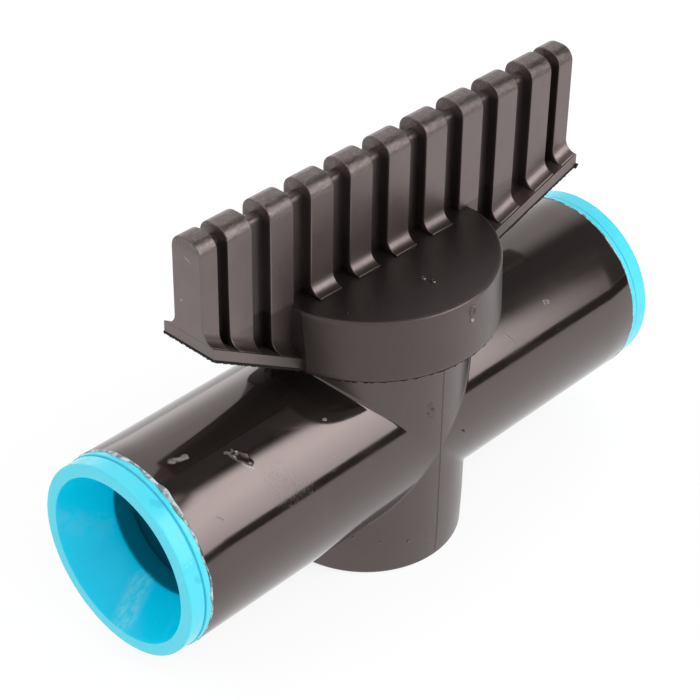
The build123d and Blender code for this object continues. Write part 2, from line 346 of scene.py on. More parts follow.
class Weave:
    """Short-hand for building one node tree."""

    def __init__(self, tree):
        self.tree = tree

    def node(self, kind, **settings):
        made = self.tree.nodes.new(kind)
        for key, value in settings.items():
            setattr(made, key, value)
        return made

    def plug(self, value, socket):
        if isinstance(value, bpy.types.NodeSocket):
            self.tree.links.new(value, socket)
        elif value is not None:
            socket.default_value = value

    def sum(self, operation, a, b=None, c=None):
        made = self.node("ShaderNodeMath", operation=operation)
        for value, socket in zip((a, b, c), made.inputs):
            self.plug(value, socket)
        return made.outputs[0]

    def seen(self, path):
        """Marks the rays that bring a thing into view, straight, mirrored or through."""
        direct = self.sum("MAXIMUM", path.outputs["Is Camera Ray"], path.outputs["Is Glossy Ray"])
        return self.sum("MAXIMUM", direct, path.outputs["Is Transmission Ray"])

    def bearing(self, x, y):
        """The direction round the valve, counted as in heading() but in radians."""
        return self.sum("ARCTAN2", x, self.sum("MULTIPLY", y, -1.0))

    def vector(self, operation, a, b=None):
        made = self.node("ShaderNodeVectorMath", operation=operation)
        self.plug(a, made.inputs[0])
        self.plug(b, made.inputs[1])
        return made.outputs["Value" if operation in ("DOT_PRODUCT", "LENGTH", "DISTANCE") else "Vector"]

    def axes(self, point):
        made = self.node("ShaderNodeSeparateXYZ")
        self.plug(point, made.inputs[0])
        return made.outputs

    def ramp(self, value, low, high, to_low=0.0, to_high=1.0, soft=True):
        made = self.node("ShaderNodeMapRange", clamp=True,
                         interpolation_type="SMOOTHSTEP" if soft else "LINEAR")
        for part, socket in zip((value, low, high, to_low, to_high), made.inputs):
            self.plug(part, socket)
        return made.outputs[0]


class Finish(Weave):
    """One procedural material that reads the piece's own coordinates."""

    def __init__(self, name, colour, roughness, ior=1.5, **sockets):
        self.material = bpy.data.materials.new(name)
        self.material.use_nodes = True
        super().__init__(self.material.node_tree)
        self.shader = self.tree.nodes["Principled BSDF"]
        self.place = self.node("ShaderNodeTexCoord").outputs["Object"]
        self.colour, self.roughness, self.shine = (*colour, 1.0), roughness, None
        self.height = None
        self.shader.inputs["IOR"].default_value = ior
        for key, value in sockets.items():
            self.shader.inputs[key.replace("_", " ")].default_value = value

    def noise(self, size_mm, detail=3.0, rough=0.55, stretch=None, distortion=0.0):
        place = self.place
        if stretch:
            place = self.vector("MULTIPLY", place, stretch)
        made = self.node("ShaderNodeTexNoise")
        self.plug(place, made.inputs["Vector"])
        made.inputs["Scale"].default_value = 1 / (size_mm * MM)
        made.inputs["Detail"].default_value = detail
        made.inputs["Roughness"].default_value = rough
        made.inputs["Distortion"].default_value = distortion
        return made.outputs[0]

    def specks(self, spacing_mm, size_share, keep=0.5):
        """Scattered small round spots, most of their places left empty."""
        made = self.node("ShaderNodeTexVoronoi")
        self.plug(self.place, made.inputs["Vector"])
        made.inputs["Scale"].default_value = 1 / (spacing_mm * MM)
        lucky = self.axes(made.outputs["Color"])
        small = self.sum("MULTIPLY", size_share, lucky[1])
        spot = self.sum("LESS_THAN", made.outputs["Distance"], small)
        return self.sum("MULTIPLY", spot, self.sum("GREATER_THAN", lucky[0], 1 - keep))

    def stroke(self, start, end, width, ragged=0.0, ragged_mm=0.4):
        """A soft mask along a line between two places, in millimetres."""
        a, b = Vector(start) * MM, Vector(end) * MM
        run = b - a
        away = self.vector("SUBTRACT", self.place, tuple(a))
        if run.length > 0:
            share_ = self.sum("DIVIDE", self.vector("DOT_PRODUCT", away, tuple(run)), run.length_squared)
            share_ = self.sum("MINIMUM", self.sum("MAXIMUM", share_, 0.0), 1.0)
            scaled = self.node("ShaderNodeVectorMath", operation="SCALE")
            scaled.inputs[0].default_value = tuple(run)
            self.plug(share_, scaled.inputs["Scale"])
            away = self.vector("SUBTRACT", away, scaled.outputs[0])
        far = self.vector("LENGTH", away)
        if ragged:
            rough = self.sum("MULTIPLY_ADD", self.noise(ragged_mm, 2.0), 2.0 * ragged * width * MM,
                             -ragged * width * MM)
            far = self.sum("ADD", far, rough)
        return self.ramp(far, width * MM, 0.35 * width * MM)

    def strokes(self, lines, ragged, ragged_mm):
        """Several strokes (start, end, width) as one mask."""
        mask = None
        for start, end, width in lines:
            line = self.stroke(start, end, width, ragged, ragged_mm)
            mask = line if mask is None else self.sum("MAXIMUM", mask, line)
        return mask

    def from_stem(self):
        """Distance from the stem's axis."""
        return self.vector("LENGTH", self.vector("MULTIPLY", self.place, (1, 1, 0)))

    def from_flow(self):
        """Distance from the flow's axis."""
        level = self.vector("SUBTRACT", self.place, (0, 0, AXIS_HEIGHT * MM))
        return self.vector("LENGTH", self.vector("MULTIPLY", level, (0, 1, 1)))

    def without(self, mask, other):
        """A mask where another one is absent."""
        return self.sum("MULTIPLY", mask, self.sum("SUBTRACT", 1.0, other))

    def tint(self, mask, colour, strength=1.0):
        made = self.node("ShaderNodeMix", data_type="RGBA")
        self.plug(self.sum("MULTIPLY", mask, strength) if strength != 1.0 else mask, made.inputs[0])
        self.plug(self.colour, made.inputs[6])
        self.plug((*colour, 1.0), made.inputs[7])
        self.colour = made.outputs[2]

    def roughen(self, mask, amount):
        self.roughness = self.sum("ADD", self.roughness, self.sum("MULTIPLY", mask, amount))

    def dim(self, mask, amount):
        """Takes some of the mirror-like shine away under a mask."""
        kept = self.sum("MULTIPLY_ADD", mask, -amount, 1.0)
        self.shine = self.sum("MULTIPLY", kept, 0.5 if self.shine is None else self.shine)

    def raise_by(self, value, depth_mm):
        grown = self.sum("MULTIPLY", value, depth_mm * MM)
        self.height = grown if self.height is None else self.sum("ADD", self.height, grown)

    def done(self):
        self.plug(self.colour, self.shader.inputs["Base Color"])
        if isinstance(self.roughness, bpy.types.NodeSocket):
            self.roughness = self.sum("MINIMUM", self.sum("MAXIMUM", self.roughness, 0.02), 1.0)
        self.plug(self.roughness, self.shader.inputs["Roughness"])
        if self.shine is not None:
            self.plug(self.shine, self.shader.inputs["Specular IOR Level"])
        if self.height is not None:
            bump = self.node("ShaderNodeBump")
            bump.inputs["Strength"].default_value = 1.0
            bump.inputs["Distance"].default_value = 1.0
            self.plug(self.height, bump.inputs["Height"])
            self.tree.links.new(bump.outputs[0], self.shader.inputs["Normal"])
        return self.material


# ----------------------------------------------------------------- housing

WELL_TAPER_TOP, WELL_DRAFT = AXIS_HEIGHT - 14.0 - 0.2, 0.15
MOUTH_ROUND, SEAM_HALF = 0.15, 0.17
RIM_ROUND = 0.2
RIM_Z, RIM_RADIUS, NECK_TOP = 39.4, 14.6, HOUSING_BOX[1].z / MM
LUG_Z, LUG_RADIUS, STOP_SPAN = 37.8, 15.0, radians(44.5)
NEAR_CORNER = (0.0, 0.14, 0.28, 0.42, 0.56, 0.72, 0.9, 1.1, 1.35, 1.75, 2.3, 3.0)


def well_radius(z, arm_radius):
    """Radius of the well: draft under the arms, straight above."""
    return arm_radius - WELL_DRAFT * (1 - np.clip(z / WELL_TAPER_TOP, 0, 1))


def blended_depth(points, arm_radius, blend):
    """Distance to the arms and well together, with a soft inside corner."""
    x, y, z = points.T
    arm = np.sqrt(y ** 2 + (z - AXIS_HEIGHT) ** 2) - arm_radius
    well = np.sqrt(x ** 2 + y ** 2) - well_radius(z, arm_radius)
    facing = np.clip(1 - (y / arm_radius) ** 2, 0, 1)
    size = np.maximum(blend * facing ** 0.6, 1e-4)
    near = np.maximum(size - np.abs(arm - well), 0) / size
    return np.minimum(arm, well) - near ** 2 * size / 4


def settle(points, arm_radius, blend):
    """Moves points onto the blended surface."""
    moved = np.array(points, float)
    step = 1e-4
    for _ in range(5):
        depth = blended_depth(moved, arm_radius, blend)
        slope = np.stack([
            (blended_depth(moved + step * axis, arm_radius, blend) - depth) / step
            for axis in np.eye(3)], 1)
        moved -= depth[:, None] * slope / np.maximum((slope ** 2).sum(1), 1e-9)[:, None]
    return moved


def column_angles():
    """Directions round the well, closer together at the seam."""
    quarter = [0.0, 0.22, 0.45, 0.7, 0.95, 1.3, 1.9]
    quarter += list(np.linspace(2.9, 90.0, 58))
    right = sorted({90 - q for q in quarter} | {q - 90 for q in quarter})
    left = [180 - q for q in reversed(right)][1:-1]
    return np.radians(right), np.radians(left)


def housing_skin(look):
    """Outside of the housing as one closed shell, bores not yet cut."""
    arm_radius, blend, seam = look.arm_radius / MM, look.blend / MM, look.seam_proud / MM
    foot_round = look.foot_round / MM
    right, left = column_angles()
    full = np.concatenate([right, left])
    verts, faces = [], []

    def add(rows):
        """One more stretch of the shell, flat at its far end."""
        start = len(verts)
        corners, quads = skin(rows, close_end=True)
        verts.extend(corners)
        faces.extend(tuple(start + k for k in quad) for quad in quads)

    def ridge(points):
        """The raised mould seam down the front and the back."""
        proud = seam * np.clip(1.35 * (1 - np.abs(points[:, 0]) / SEAM_HALF), 0, 1)
        proud = proud * np.sign(points[:, 1])
        return points + np.stack([0 * proud, proud, 0 * proud], 1)

    # Two arms. Each loop runs up the front and down the back of the well's columns.
    for side, half in ((1, right), (-1, np.concatenate([[pi / 2], left, [3 * pi / 2]]))):
        upper = [(theta, 1) for theta in half]
        lower = [(theta, -1) for theta in half[::-1][1:-1]]
        loop = upper + lower
        theta = np.array([t for t, _ in loop])
        way = np.array([w for _, w in loop])
        across = arm_radius * np.sin(theta)
        along = arm_radius * np.abs(np.cos(theta))
        height = AXIS_HEIGHT + way * along
        rows = []
        for offset in NEAR_CORNER:
            row = np.stack([side * (along + offset), across, height], 1)
            rows.append(ridge(settle(row, arm_radius, blend)))
        begin = along + NEAR_CORNER[-1]
        end = ARM_END - MOUTH_ROUND
        for t in np.linspace(0, 1, 9)[1:]:
            rows.append(np.stack([side * (begin + (end - begin) * t), across, height], 1))
        for k in range(1, 5):
            t = radians(22.5 * k)
            shrink = (arm_radius - MOUTH_ROUND * (1 - cos(t))) / arm_radius
            station = np.full(len(theta), side * (end + MOUTH_ROUND * sin(t)))
            rows.append(np.stack([station, across * shrink,
                                  AXIS_HEIGHT + (height - AXIS_HEIGHT) * shrink], 1))
        add(rows)

    reach = arm_radius * np.abs(np.cos(full))
    flat = np.stack([np.cos(full), np.sin(full)], 1)

    def well_row(z, radius=None):
        radius = well_radius(z, arm_radius) if radius is None else radius
        return np.stack([flat[:, 0] * radius, flat[:, 1] * radius, z], 1)

    ones = np.ones(len(full))
    # Upper well, neck, stop lugs and rim.
    rows = [ridge(settle(well_row(AXIS_HEIGHT + reach + offset), arm_radius, blend))
            for offset in NEAR_CORNER]
    begin = AXIS_HEIGHT + reach + NEAR_CORNER[-1]
    for t in np.linspace(0, 1, 7)[1:]:
        rows.append(ridge(well_row(begin + (LUG_Z - begin) * t)))
    turned = np.abs((full + pi / 2) % pi - pi / 2)
    lug = np.where(turned < STOP_SPAN / 2, LUG_RADIUS, arm_radius)
    rows.append(well_row(LUG_Z * ones, lug))
    rows.append(well_row(RIM_Z * ones, lug))
    rows.append(well_row(RIM_Z * ones, np.maximum(lug, RIM_RADIUS)))
    rows.append(well_row((NECK_TOP - RIM_ROUND) * ones, RIM_RADIUS * ones))
    rows.append(well_row(NECK_TOP * ones, (RIM_RADIUS - RIM_ROUND) * ones))
    add(rows)
    # Lower well and foot.
    rows = [ridge(settle(well_row(AXIS_HEIGHT - reach - offset), arm_radius, blend))
            for offset in NEAR_CORNER[:-1]]
    begin = AXIS_HEIGHT - reach - NEAR_CORNER[-2]
    for t in np.linspace(0, 1, 7)[1:]:
        rows.append(ridge(well_row(begin + (foot_round + 0.4 - begin) * t)))
    base = well_radius(foot_round, arm_radius)
    for k in range(0, 9):
        t = radians(11.25 * k)
        radius = base - foot_round * (1 - cos(t))
        rows.append(well_row(foot_round * (1 - sin(t)) * ones, radius * ones))
    add(rows)
    return weld(piece_from("housing_moulding", verts, faces))


def bore_cutters():
    """The ball pocket and the stepped flow bore, as solids to cut away."""
    segments = 160
    # The pocket as (height, radius): its floor, the bonnet's snap groove, past the neck.
    pocket = [(3.5, 10.6), (37.1, 10.6), (37.1, 11.05), (38.1, 11.05), (38.1, 10.6), (43, 10.6)]
    rows = [[(r * cos(2 * pi * k / segments), r * sin(2 * pi * k / segments), z)
             for k in range(segments)] for z, r in pocket]
    upright = solid_from("pocket_cutter", rows, 0.002)
    # The bore as (station, radius): seat pocket, flow port, wider bore, collar socket, past the end.
    half = [(12.6, 7.8), (12.6, 5.3), (15.6, 5.3), (15.6, 8.4), (25.5, 8.4), (25.5, 11.9), (50, 11.9)]
    steps = [(-x, r) for x, r in reversed(half)] + half
    lying = solid_from("flow_cutter", [ring_x(x, r, segments) for x, r in steps], 0.002)
    return upright, lying


def housing_finish(look):
    """Polished arms and a plainer well, with dust, rubs and nicks."""
    coat = Finish("housing_black", look.gloss_colour, look.gloss, ior=1.88, Specular_Tint=WARM)
    well = coat.ramp(coat.sum("SUBTRACT", coat.from_stem(), coat.from_flow()), 0.25 * MM, -0.35 * MM)
    coat.tint(well, look.satin_colour)
    coat.roughen(well, look.satin - look.gloss)
    cloud = coat.noise(9.0, 3.0)
    coat.roughen(coat.ramp(cloud, 0.35, 0.75), 0.05)
    fine = coat.noise(0.22, 4.0, 0.6)
    coat.raise_by(coat.sum("MULTIPLY", fine, well), 0.0012)
    flow = coat.noise(2.4, 2.0, 0.5, stretch=(0.16, 1.0, 1.0))
    coat.raise_by(flow, 0.004)
    hair = coat.noise(0.35, 3.0, 0.6, stretch=(0.12, 1.0, 1.0))
    coat.roughen(coat.without(coat.ramp(hair, 0.60, 0.74), well), 0.10)
    dust = coat.specks(1.15, 0.05, 0.35)
    coat.tint(dust, (0.20, 0.18, 0.17), 0.7)
    coat.roughen(dust, 0.4)
    # A pale rub near the end of one arm, and a nick further in.
    rub = coat.stroke((-39.0, -2.85, 32.9), (-37.0, -3.45, 32.75), 0.52, 0.8, 0.9)
    rub = coat.sum("MULTIPLY", rub, coat.ramp(coat.noise(0.6, 3.0, 0.6), 0.20, 0.62))
    coat.tint(rub, (0.36, 0.335, 0.32), 0.70)
    pit = coat.stroke((-31.0, -6.95, 31.35), (-30.1, -8.0, 30.70), 0.52, 0.8, 0.7)
    coat.dim(pit, 0.92)
    coat.roughen(pit, 0.4)
    rim = coat.strokes((
        ((-32.3, -5.6, 32.0), (-31.4, -6.3, 31.7), 0.30),
        ((-31.3, -7.7, 30.9), (-30.4, -8.7, 30.2), 0.22),
    ), 1.0, 0.5)
    coat.tint(rim, (0.20, 0.185, 0.18), 0.6)
    scratches = coat.strokes((
        ((-38.6, -10.7, 28.3), (-38.0, -11.1, 27.7), 0.14),
        ((-17.1, -8.3, 30.5), (-16.9, -8.4, 30.4), 0.20),
        ((26.1, -10.2, 28.8), (26.6, -10.3, 28.7), 0.40),
        ((16.6, -10.8, 28.1), (17.7, -11.7, 26.8), 0.16),
        ((-11.3, -8.3, 6.6), (-11.2, -8.4, 6.6), 0.22),
        ((-8.6, -11.0, 5.8), (-8.5, -11.1, 5.8), 0.22),
        ((-5.0, -13.1, 5.0), (-4.9, -13.1, 5.0), 0.22),
    ), 0.8, 0.3)
    coat.tint(scratches, (0.17, 0.16, 0.15), 0.75)
    coat.roughen(scratches, 0.35)
    coat.raise_by(scratches, 0.012)
    # A worn patch of fine streaks.
    worn = coat.stroke((-28.0, -10.8, 28.1), (-22.9, -13.8, 21.6), 3.4, 0.5, 2.2)
    ripple = coat.ramp(coat.noise(0.34, 4.0, 0.7, stretch=(2.2, 0.35, 0.35)), 0.40, 0.75)
    worn = coat.sum("MULTIPLY", worn, ripple)
    coat.tint(worn, (0.10, 0.09, 0.085), 0.5)
    coat.roughen(worn, 0.12)
    coat.dim(worn, 0.30)
    # Dull smudges at the near arm's root, on the neck and low on the far arm.
    patchy = coat.ramp(coat.noise(0.6, 3.0), 0.42, 0.6)
    for a, b, width in (
        ((-9.5, -10.6, 22.2), (-8.6, -11.2, 20.8), 1.0),
        ((-2.4, -13.9, 27.5), (-2.2, -13.9, 26.0), 0.9),
        ((16.9, -11.9, 12.2), (17.2, -11.9, 12.0), 0.5),
    ):
        smudge = coat.sum("MULTIPLY", coat.stroke(a, b, width, 0.8, 0.7), patchy)
        coat.dim(smudge, 0.60)
    # One dark speck on the far arm, beside the neck.
    speck = coat.stroke((4.4, -13.99, 19.9), (4.8, -13.99, 19.4), 0.24, 0.8, 0.3)
    coat.tint(speck, (0.003, 0.003, 0.003), 0.9)
    coat.dim(speck, 0.85)
    return coat.done()


# Raised pips: place, the way each faces, and its size.
PIPS = (
    ((-16.97, -8.33, 30.45), (0, -0.6, 0.8), 0.22),
    ((26.3, -10.2, 28.78), (0, -0.73, 0.68), 0.34),
    ((-11.25, -8.33, 6.6), (-0.8, -0.6, 0), 0.24),
    ((-8.55, -11.08, 5.8), (-0.6, -0.8, 0), 0.24),
    ((-4.95, -13.08, 5.0), (-0.35, -0.94, 0), 0.24),
)


class VALVE_OT_housing(bpy.types.Operator):
    """Builds the moulded housing: two arms, the well and the neck"""
    bl_idname = "valve.housing"
    bl_label = "Build Housing"

    def execute(self, context):
        look = context.scene.valve_housing
        piece = housing_skin(look)
        cut(piece, *bore_cutters())
        weld(piece, 0.0005)
        # Raised rims round the nick on one arm and a few pips.
        centre, down_side = (-30.85, -7.05, 31.28), (0.52, -0.755, -0.40)
        marks = [scar(centre, (0, -0.504, 0.863), (1.75, 0.85), 0.20, 0.01, 51, down_side)]
        for k, (spot, facing, size) in enumerate(PIPS):
            marks.append(scar(spot, facing, (size, size * 0.8), size * 0.45, size * 0.4, 52 + k))
        piece = joined("housing_moulding", [piece] + marks)
        smooth(piece, 30)
        dress(piece, housing_finish(look))
        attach(piece, "housing")
        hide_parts("body")
        return {"FINISHED"}


# ----------------------------------------------------------------- collars

def collar_finish(look):
    """Glossy cyan plastic, with painted highlight making its lip paler and painted shade making it deep teal
    behind its throat.
    """
    coat = Finish("collar_cyan", look.colour, look.roughness, ior=1.5,
                  Subsurface_Weight=0.12, Subsurface_Scale=0.0012)
    coat.shader.inputs["Subsurface Radius"].default_value = (0.3, 0.9, 1.0)
    x = coat.axes(coat.place)[0]
    cloud = coat.noise(6.0, 3.0)
    coat.tint(coat.ramp(cloud, 0.35, 0.75), tuple(c * 0.92 for c in look.colour), 0.6)
    # Painted highlight: the lip and the outside get the paler cyan.
    lip = coat.ramp(coat.from_flow(), 11.85 * MM, 12.1 * MM)
    coat.tint(lip, look.lip_highlight_colour)
    # Painted shade: deep teal behind the throat, where little light reaches.
    behind = coat.ramp(coat.sum("ABSOLUTE", x), 39.2 * MM, 38.6 * MM)
    coat.tint(coat.without(behind, lip), look.throat_shade_colour)
    coat.roughen(coat.ramp(coat.noise(3.0, 2.0), 0.4, 0.7), 0.06)
    coat.raise_by(coat.noise(0.5, 3.0), 0.003)
    rings = coat.noise(0.35, 1.0, 0.5, stretch=(1.0, 0.04, 0.04))
    coat.raise_by(rings, 0.003)
    dust = coat.specks(1.6, 0.05, 0.3)
    coat.tint(dust, (0.45, 0.75, 0.84), 0.6)
    # Painted reflection: fine pale streaks low in the funnel.
    streak = coat.ramp(coat.noise(0.50, 3.0, 0.6, stretch=(0.10, 1.0, 1.0)), 0.25, 0.75)
    polished = coat.stroke((-45.2, 0.8, 7.7), (-40.3, 2.6, 10.0), 2.2)
    coat.tint(coat.sum("MULTIPLY", polished, streak), (0.30, 0.87, 1.0), 0.58)
    glint = coat.stroke((-45.4, 11.0, 18.5), (-41.0, 9.2, 16.5), 2.6)
    glint = coat.sum("MULTIPLY", glint, coat.ramp(coat.noise(1.6, 2.0), 0.3, 0.6))
    coat.tint(glint, (0.10, 0.72, 0.93), 0.35)
    # Two darker patches, painted breaks in the highlight, and a short rub on the near collar.
    for start, end, width in (((-44.9, -6.0, 31.6), (-44.2, -6.6, 31.3), 0.8),
                              ((-44.6, -12.9, 23.4), (-44.3, -13.1, 22.9), 0.6)):
        coat.tint(coat.stroke(start, end, width, 0.5, 0.8), (0.0, 0.40, 0.62), 0.30)
    rub = coat.stroke((-45.9, -12.3, 25.2), (-44.6, -12.2, 25.4), 0.16, 0.8, 0.4)
    coat.tint(rub, (0.55, 0.86, 0.95), 0.6)
    coat.shader.inputs["Specular IOR Level"].default_value = 0.25
    return coat.done()


class VALVE_OT_collars(bpy.types.Operator):
    """Builds the two cyan tube collars"""
    bl_idname = "valve.collars"
    bl_label = "Build Collars"

    def execute(self, context):
        look = context.scene.valve_collars
        lip = look.lip_round / MM
        # Sleeve in the arm, shoulder with a fine groove, lip, funnel, throat and wider bore.
        profile = rounded([
            (27.0, 11.85, 0.2), (ARM_END + 0.02, 11.85, 0.0), (ARM_END + 0.02, 13.95, 0.10),
            (43.7, 13.95, 0.12), (43.7, 13.55, 0.04), (43.95, 13.55, 0.04),
            (43.95, 13.80, 0.08), (COLLAR_FRONT, 13.80, lip), (COLLAR_FRONT, 11.95, 0.10),
            (39.1, 8.95, 0.05), (36.1, 8.95, 0.05), (36.1, 9.7, 0.05), (27.0, 9.7, 0.2),
        ])
        right = turned_about_flow("collar_ring_right", profile)
        left = mirror_across(right, "collar_ring_left")
        material = collar_finish(look)
        for piece, node in ((right, "collar_right"), (left, "collar_left")):
            steady_shading(piece, 34)
            dress(piece, material)
            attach(piece, "housing")
            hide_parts(node)
        return {"FINISHED"}


# ------------------------------------------------------------------- beads

# Lumps of adhesive: the angle about the flow, spread in degrees, and height.
BEAD_LUMPS = ((59, 5.0, 0.16), (80, 6.0, 0.20), (104, 4.0, 0.22), (116, 6.0, 0.26),
              (127, 4.0, 0.20), (174, 6.0, 0.16))


def bead_finish(look):
    """Milky cured adhesive, thin and patchy in places."""
    coat = Finish("adhesive_milky", look.colour, 0.42, ior=1.46,
                  Subsurface_Weight=0.2, Subsurface_Scale=0.0006)
    coat.tint(coat.ramp(coat.noise(1.1, 3.0), 0.38, 0.58), (0.06, 0.12, 0.15), 0.80)
    coat.tint(coat.ramp(coat.noise(0.45, 2.0), 0.55, 0.7), (0.85, 0.88, 0.9), 0.7)
    coat.roughen(coat.noise(0.4, 2.0), 0.2)
    coat.raise_by(coat.noise(0.25, 3.0), 0.03)
    return coat.done()


class VALVE_OT_beads(bpy.types.Operator):
    """Builds the uneven run of adhesive at each collar"""
    bl_idname = "valve.beads"
    bl_label = "Build Adhesive Beads"

    def execute(self, context):
        look = context.scene.valve_beads
        material = bead_finish(look)
        segments = 420
        angles = np.linspace(0, 2 * pi, segments, endpoint=False)
        arm_radius = context.scene.valve_housing.arm_radius / MM
        root = arm_radius - 0.22
        for side, node, lumps in ((-1, "bond_bead_left", BEAD_LUMPS),
                                  (1, "bond_bead_right", BEAD_LUMPS[::2])):
            seed = look.seed + (side > 0) * 7
            height = look.proud / MM * np.clip(0.46 + 0.32 * wobble(angles, seed), 0.12, 1.1)
            half = look.width / MM / 2 * np.clip(0.62 + 0.34 * wobble(angles, seed + 1), 0.22, 1.4)
            drift = 0.10 * wobble(angles, seed + 2, low=3, high=24)
            for middle, spread, size in lumps:
                away = np.abs((np.degrees(angles) - middle + 180) % 360 - 180)
                swell = np.exp(-(away / spread) ** 2)
                height = height + size * swell
                half = half + 0.20 * swell
            # Thinner down the near side, and thin all round on the far collar.
            low_side = np.clip((np.abs(np.degrees(angles) - 100) - 25) / 30, 0, 1)
            slim = (1 - 0.5 * low_side) * (0.5 if side > 0 else 1.0)
            height, half = height * slim, half * slim
            rows = []
            for k in range(11):
                t = pi * k / 10
                station = ARM_END + drift - half * cos(t)
                radius = arm_radius - 0.05 + (height + 0.05) * sin(t) ** 0.8
                rows.append([(side * station[j], radius[j] * cos(angles[j]),
                              AXIS_HEIGHT + radius[j] * sin(angles[j])) for j in range(segments)])
            for t in (1.0, -1.0):
                station = ARM_END + drift + half * t * 0.8
                rows.append([(side * station[j], root * cos(angles[j]),
                              AXIS_HEIGHT + root * sin(angles[j])) for j in range(segments)])
            piece = hoop_from(node.replace("bond_", "adhesive_"), rows)
            smooth(piece, 60)
            dress(piece, material)
            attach(piece, "housing")
            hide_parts(node)
        return {"FINISHED"}


# ------------------------------------------------------------------ handle

CAP_TOP, CAP_FOOT_RADIUS, CAP_TOP_RADIUS, CAP_FLAT, CAP_CORNER = 45.4, 18.0, 17.7, 17.2, 0.22
CAVITY_RADIUS, CAVITY_TOP, BOSS_RADIUS, BOSS_Z = 15.3, 43.5, 6.6, 39.3
SOCKET_HALF, SOCKET_TOP = 2.85, 44.6
WING_ROOT_X, WING_INSET, WING_THICKNESS, WING_HALF = 17.2, 1.0, 1.85, 4.5
LEFT_WING, RIGHT_WING = (38.3, 47.7), (39.3, 45.6)   # height beside the cap, and at the tip
FOOT_STEP = 0.3
END_INSET = 0.03        # keeps the end ribs just inside the wings' ends
WEB_INSET = 0.5         # how far the web stops short of the blade's ends
TAB_INNER, TAB_TOP = 14.25, 39.1
FLASH_INSET = 0.12      # keeps the flash inside the cap's own outline
# Rubs and scratches (start, end, width) on the cap's side, its top and the first rib.
HANDLE_RUBS = (
    ((0.42, -17.98, 42.25), (0.56, -17.98, 42.05), 0.34),
    ((0.30, -17.98, 44.20), (0.75, -17.98, 44.25), 0.10),
    ((-0.62, -10.2, 45.5), (-0.52, -10.4, 45.5), 0.16),
    ((-0.30, -11.6, 45.5), (-0.20, -11.8, 45.5), 0.16),
    ((-32.7, 1.1, 52.3), (-32.7, 1.0, 52.3), 0.16),
    ((-32.7, 0.2, 59.0), (-32.7, -0.9, 58.6), 0.09),
)


class GeometryWeave(Weave):
    """Short-hand for a Geometry Nodes tree with named inputs."""

    def __init__(self, name):
        super().__init__(bpy.data.node_groups.new(name, "GeometryNodeTree"))
        self.sockets = {}
        self.tree.interface.new_socket(name="Geometry", in_out="OUTPUT", socket_type="NodeSocketGeometry")

    def inputs(self, **kinds):
        for name, kind in kinds.items():
            label = name.replace("_", " ")
            self.sockets[name] = self.tree.interface.new_socket(
                name=label, in_out="INPUT", socket_type="NodeSocket" + kind)
        entry = self.node("NodeGroupInput")
        return {name: entry.outputs[name.replace("_", " ")] for name in kinds}

    def xyz(self, x=0.0, y=0.0, z=0.0):
        made = self.node("ShaderNodeCombineXYZ")
        for value, socket in zip((x, y, z), made.inputs):
            self.plug(value, socket)
        return made.outputs[0]

    def pick(self, kind, index, values):
        made = self.node("GeometryNodeIndexSwitch", data_type=kind)
        while len(made.index_switch_items) < len(values):
            made.index_switch_items.new()
        self.plug(index, made.inputs["Index"])
        sockets = [s for s in made.inputs if s.name not in ("Index", "") and s.enabled]
        for value, socket in zip(values, sockets):
            self.plug(value, socket)
        return made.outputs[0]

    def choose(self, test, if_false, if_true):
        made = self.node("GeometryNodeSwitch", input_type="FLOAT")
        self.plug(test, made.inputs[0])
        self.plug(if_false, made.inputs[1])
        self.plug(if_true, made.inputs[2])
        return made.outputs[0]

    def compare(self, a, operation, b):
        made = self.node("FunctionNodeCompare", data_type="FLOAT", operation=operation)
        self.plug(a, made.inputs[0])
        self.plug(b, made.inputs[1])
        return made.outputs[0]

    def chain(self, kind, geometry, settings=None, **values):
        made = self.node(kind, **(settings or {}))
        self.tree.links.new(geometry, made.inputs[0])
        for name, value in values.items():
            self.plug(value, made.inputs[name.replace("_", " ")])
        return made

    def join(self, *parts):
        made = self.node("GeometryNodeJoinGeometry")
        for part in parts:
            self.tree.links.new(part, made.inputs[0])
        return made.outputs[0]


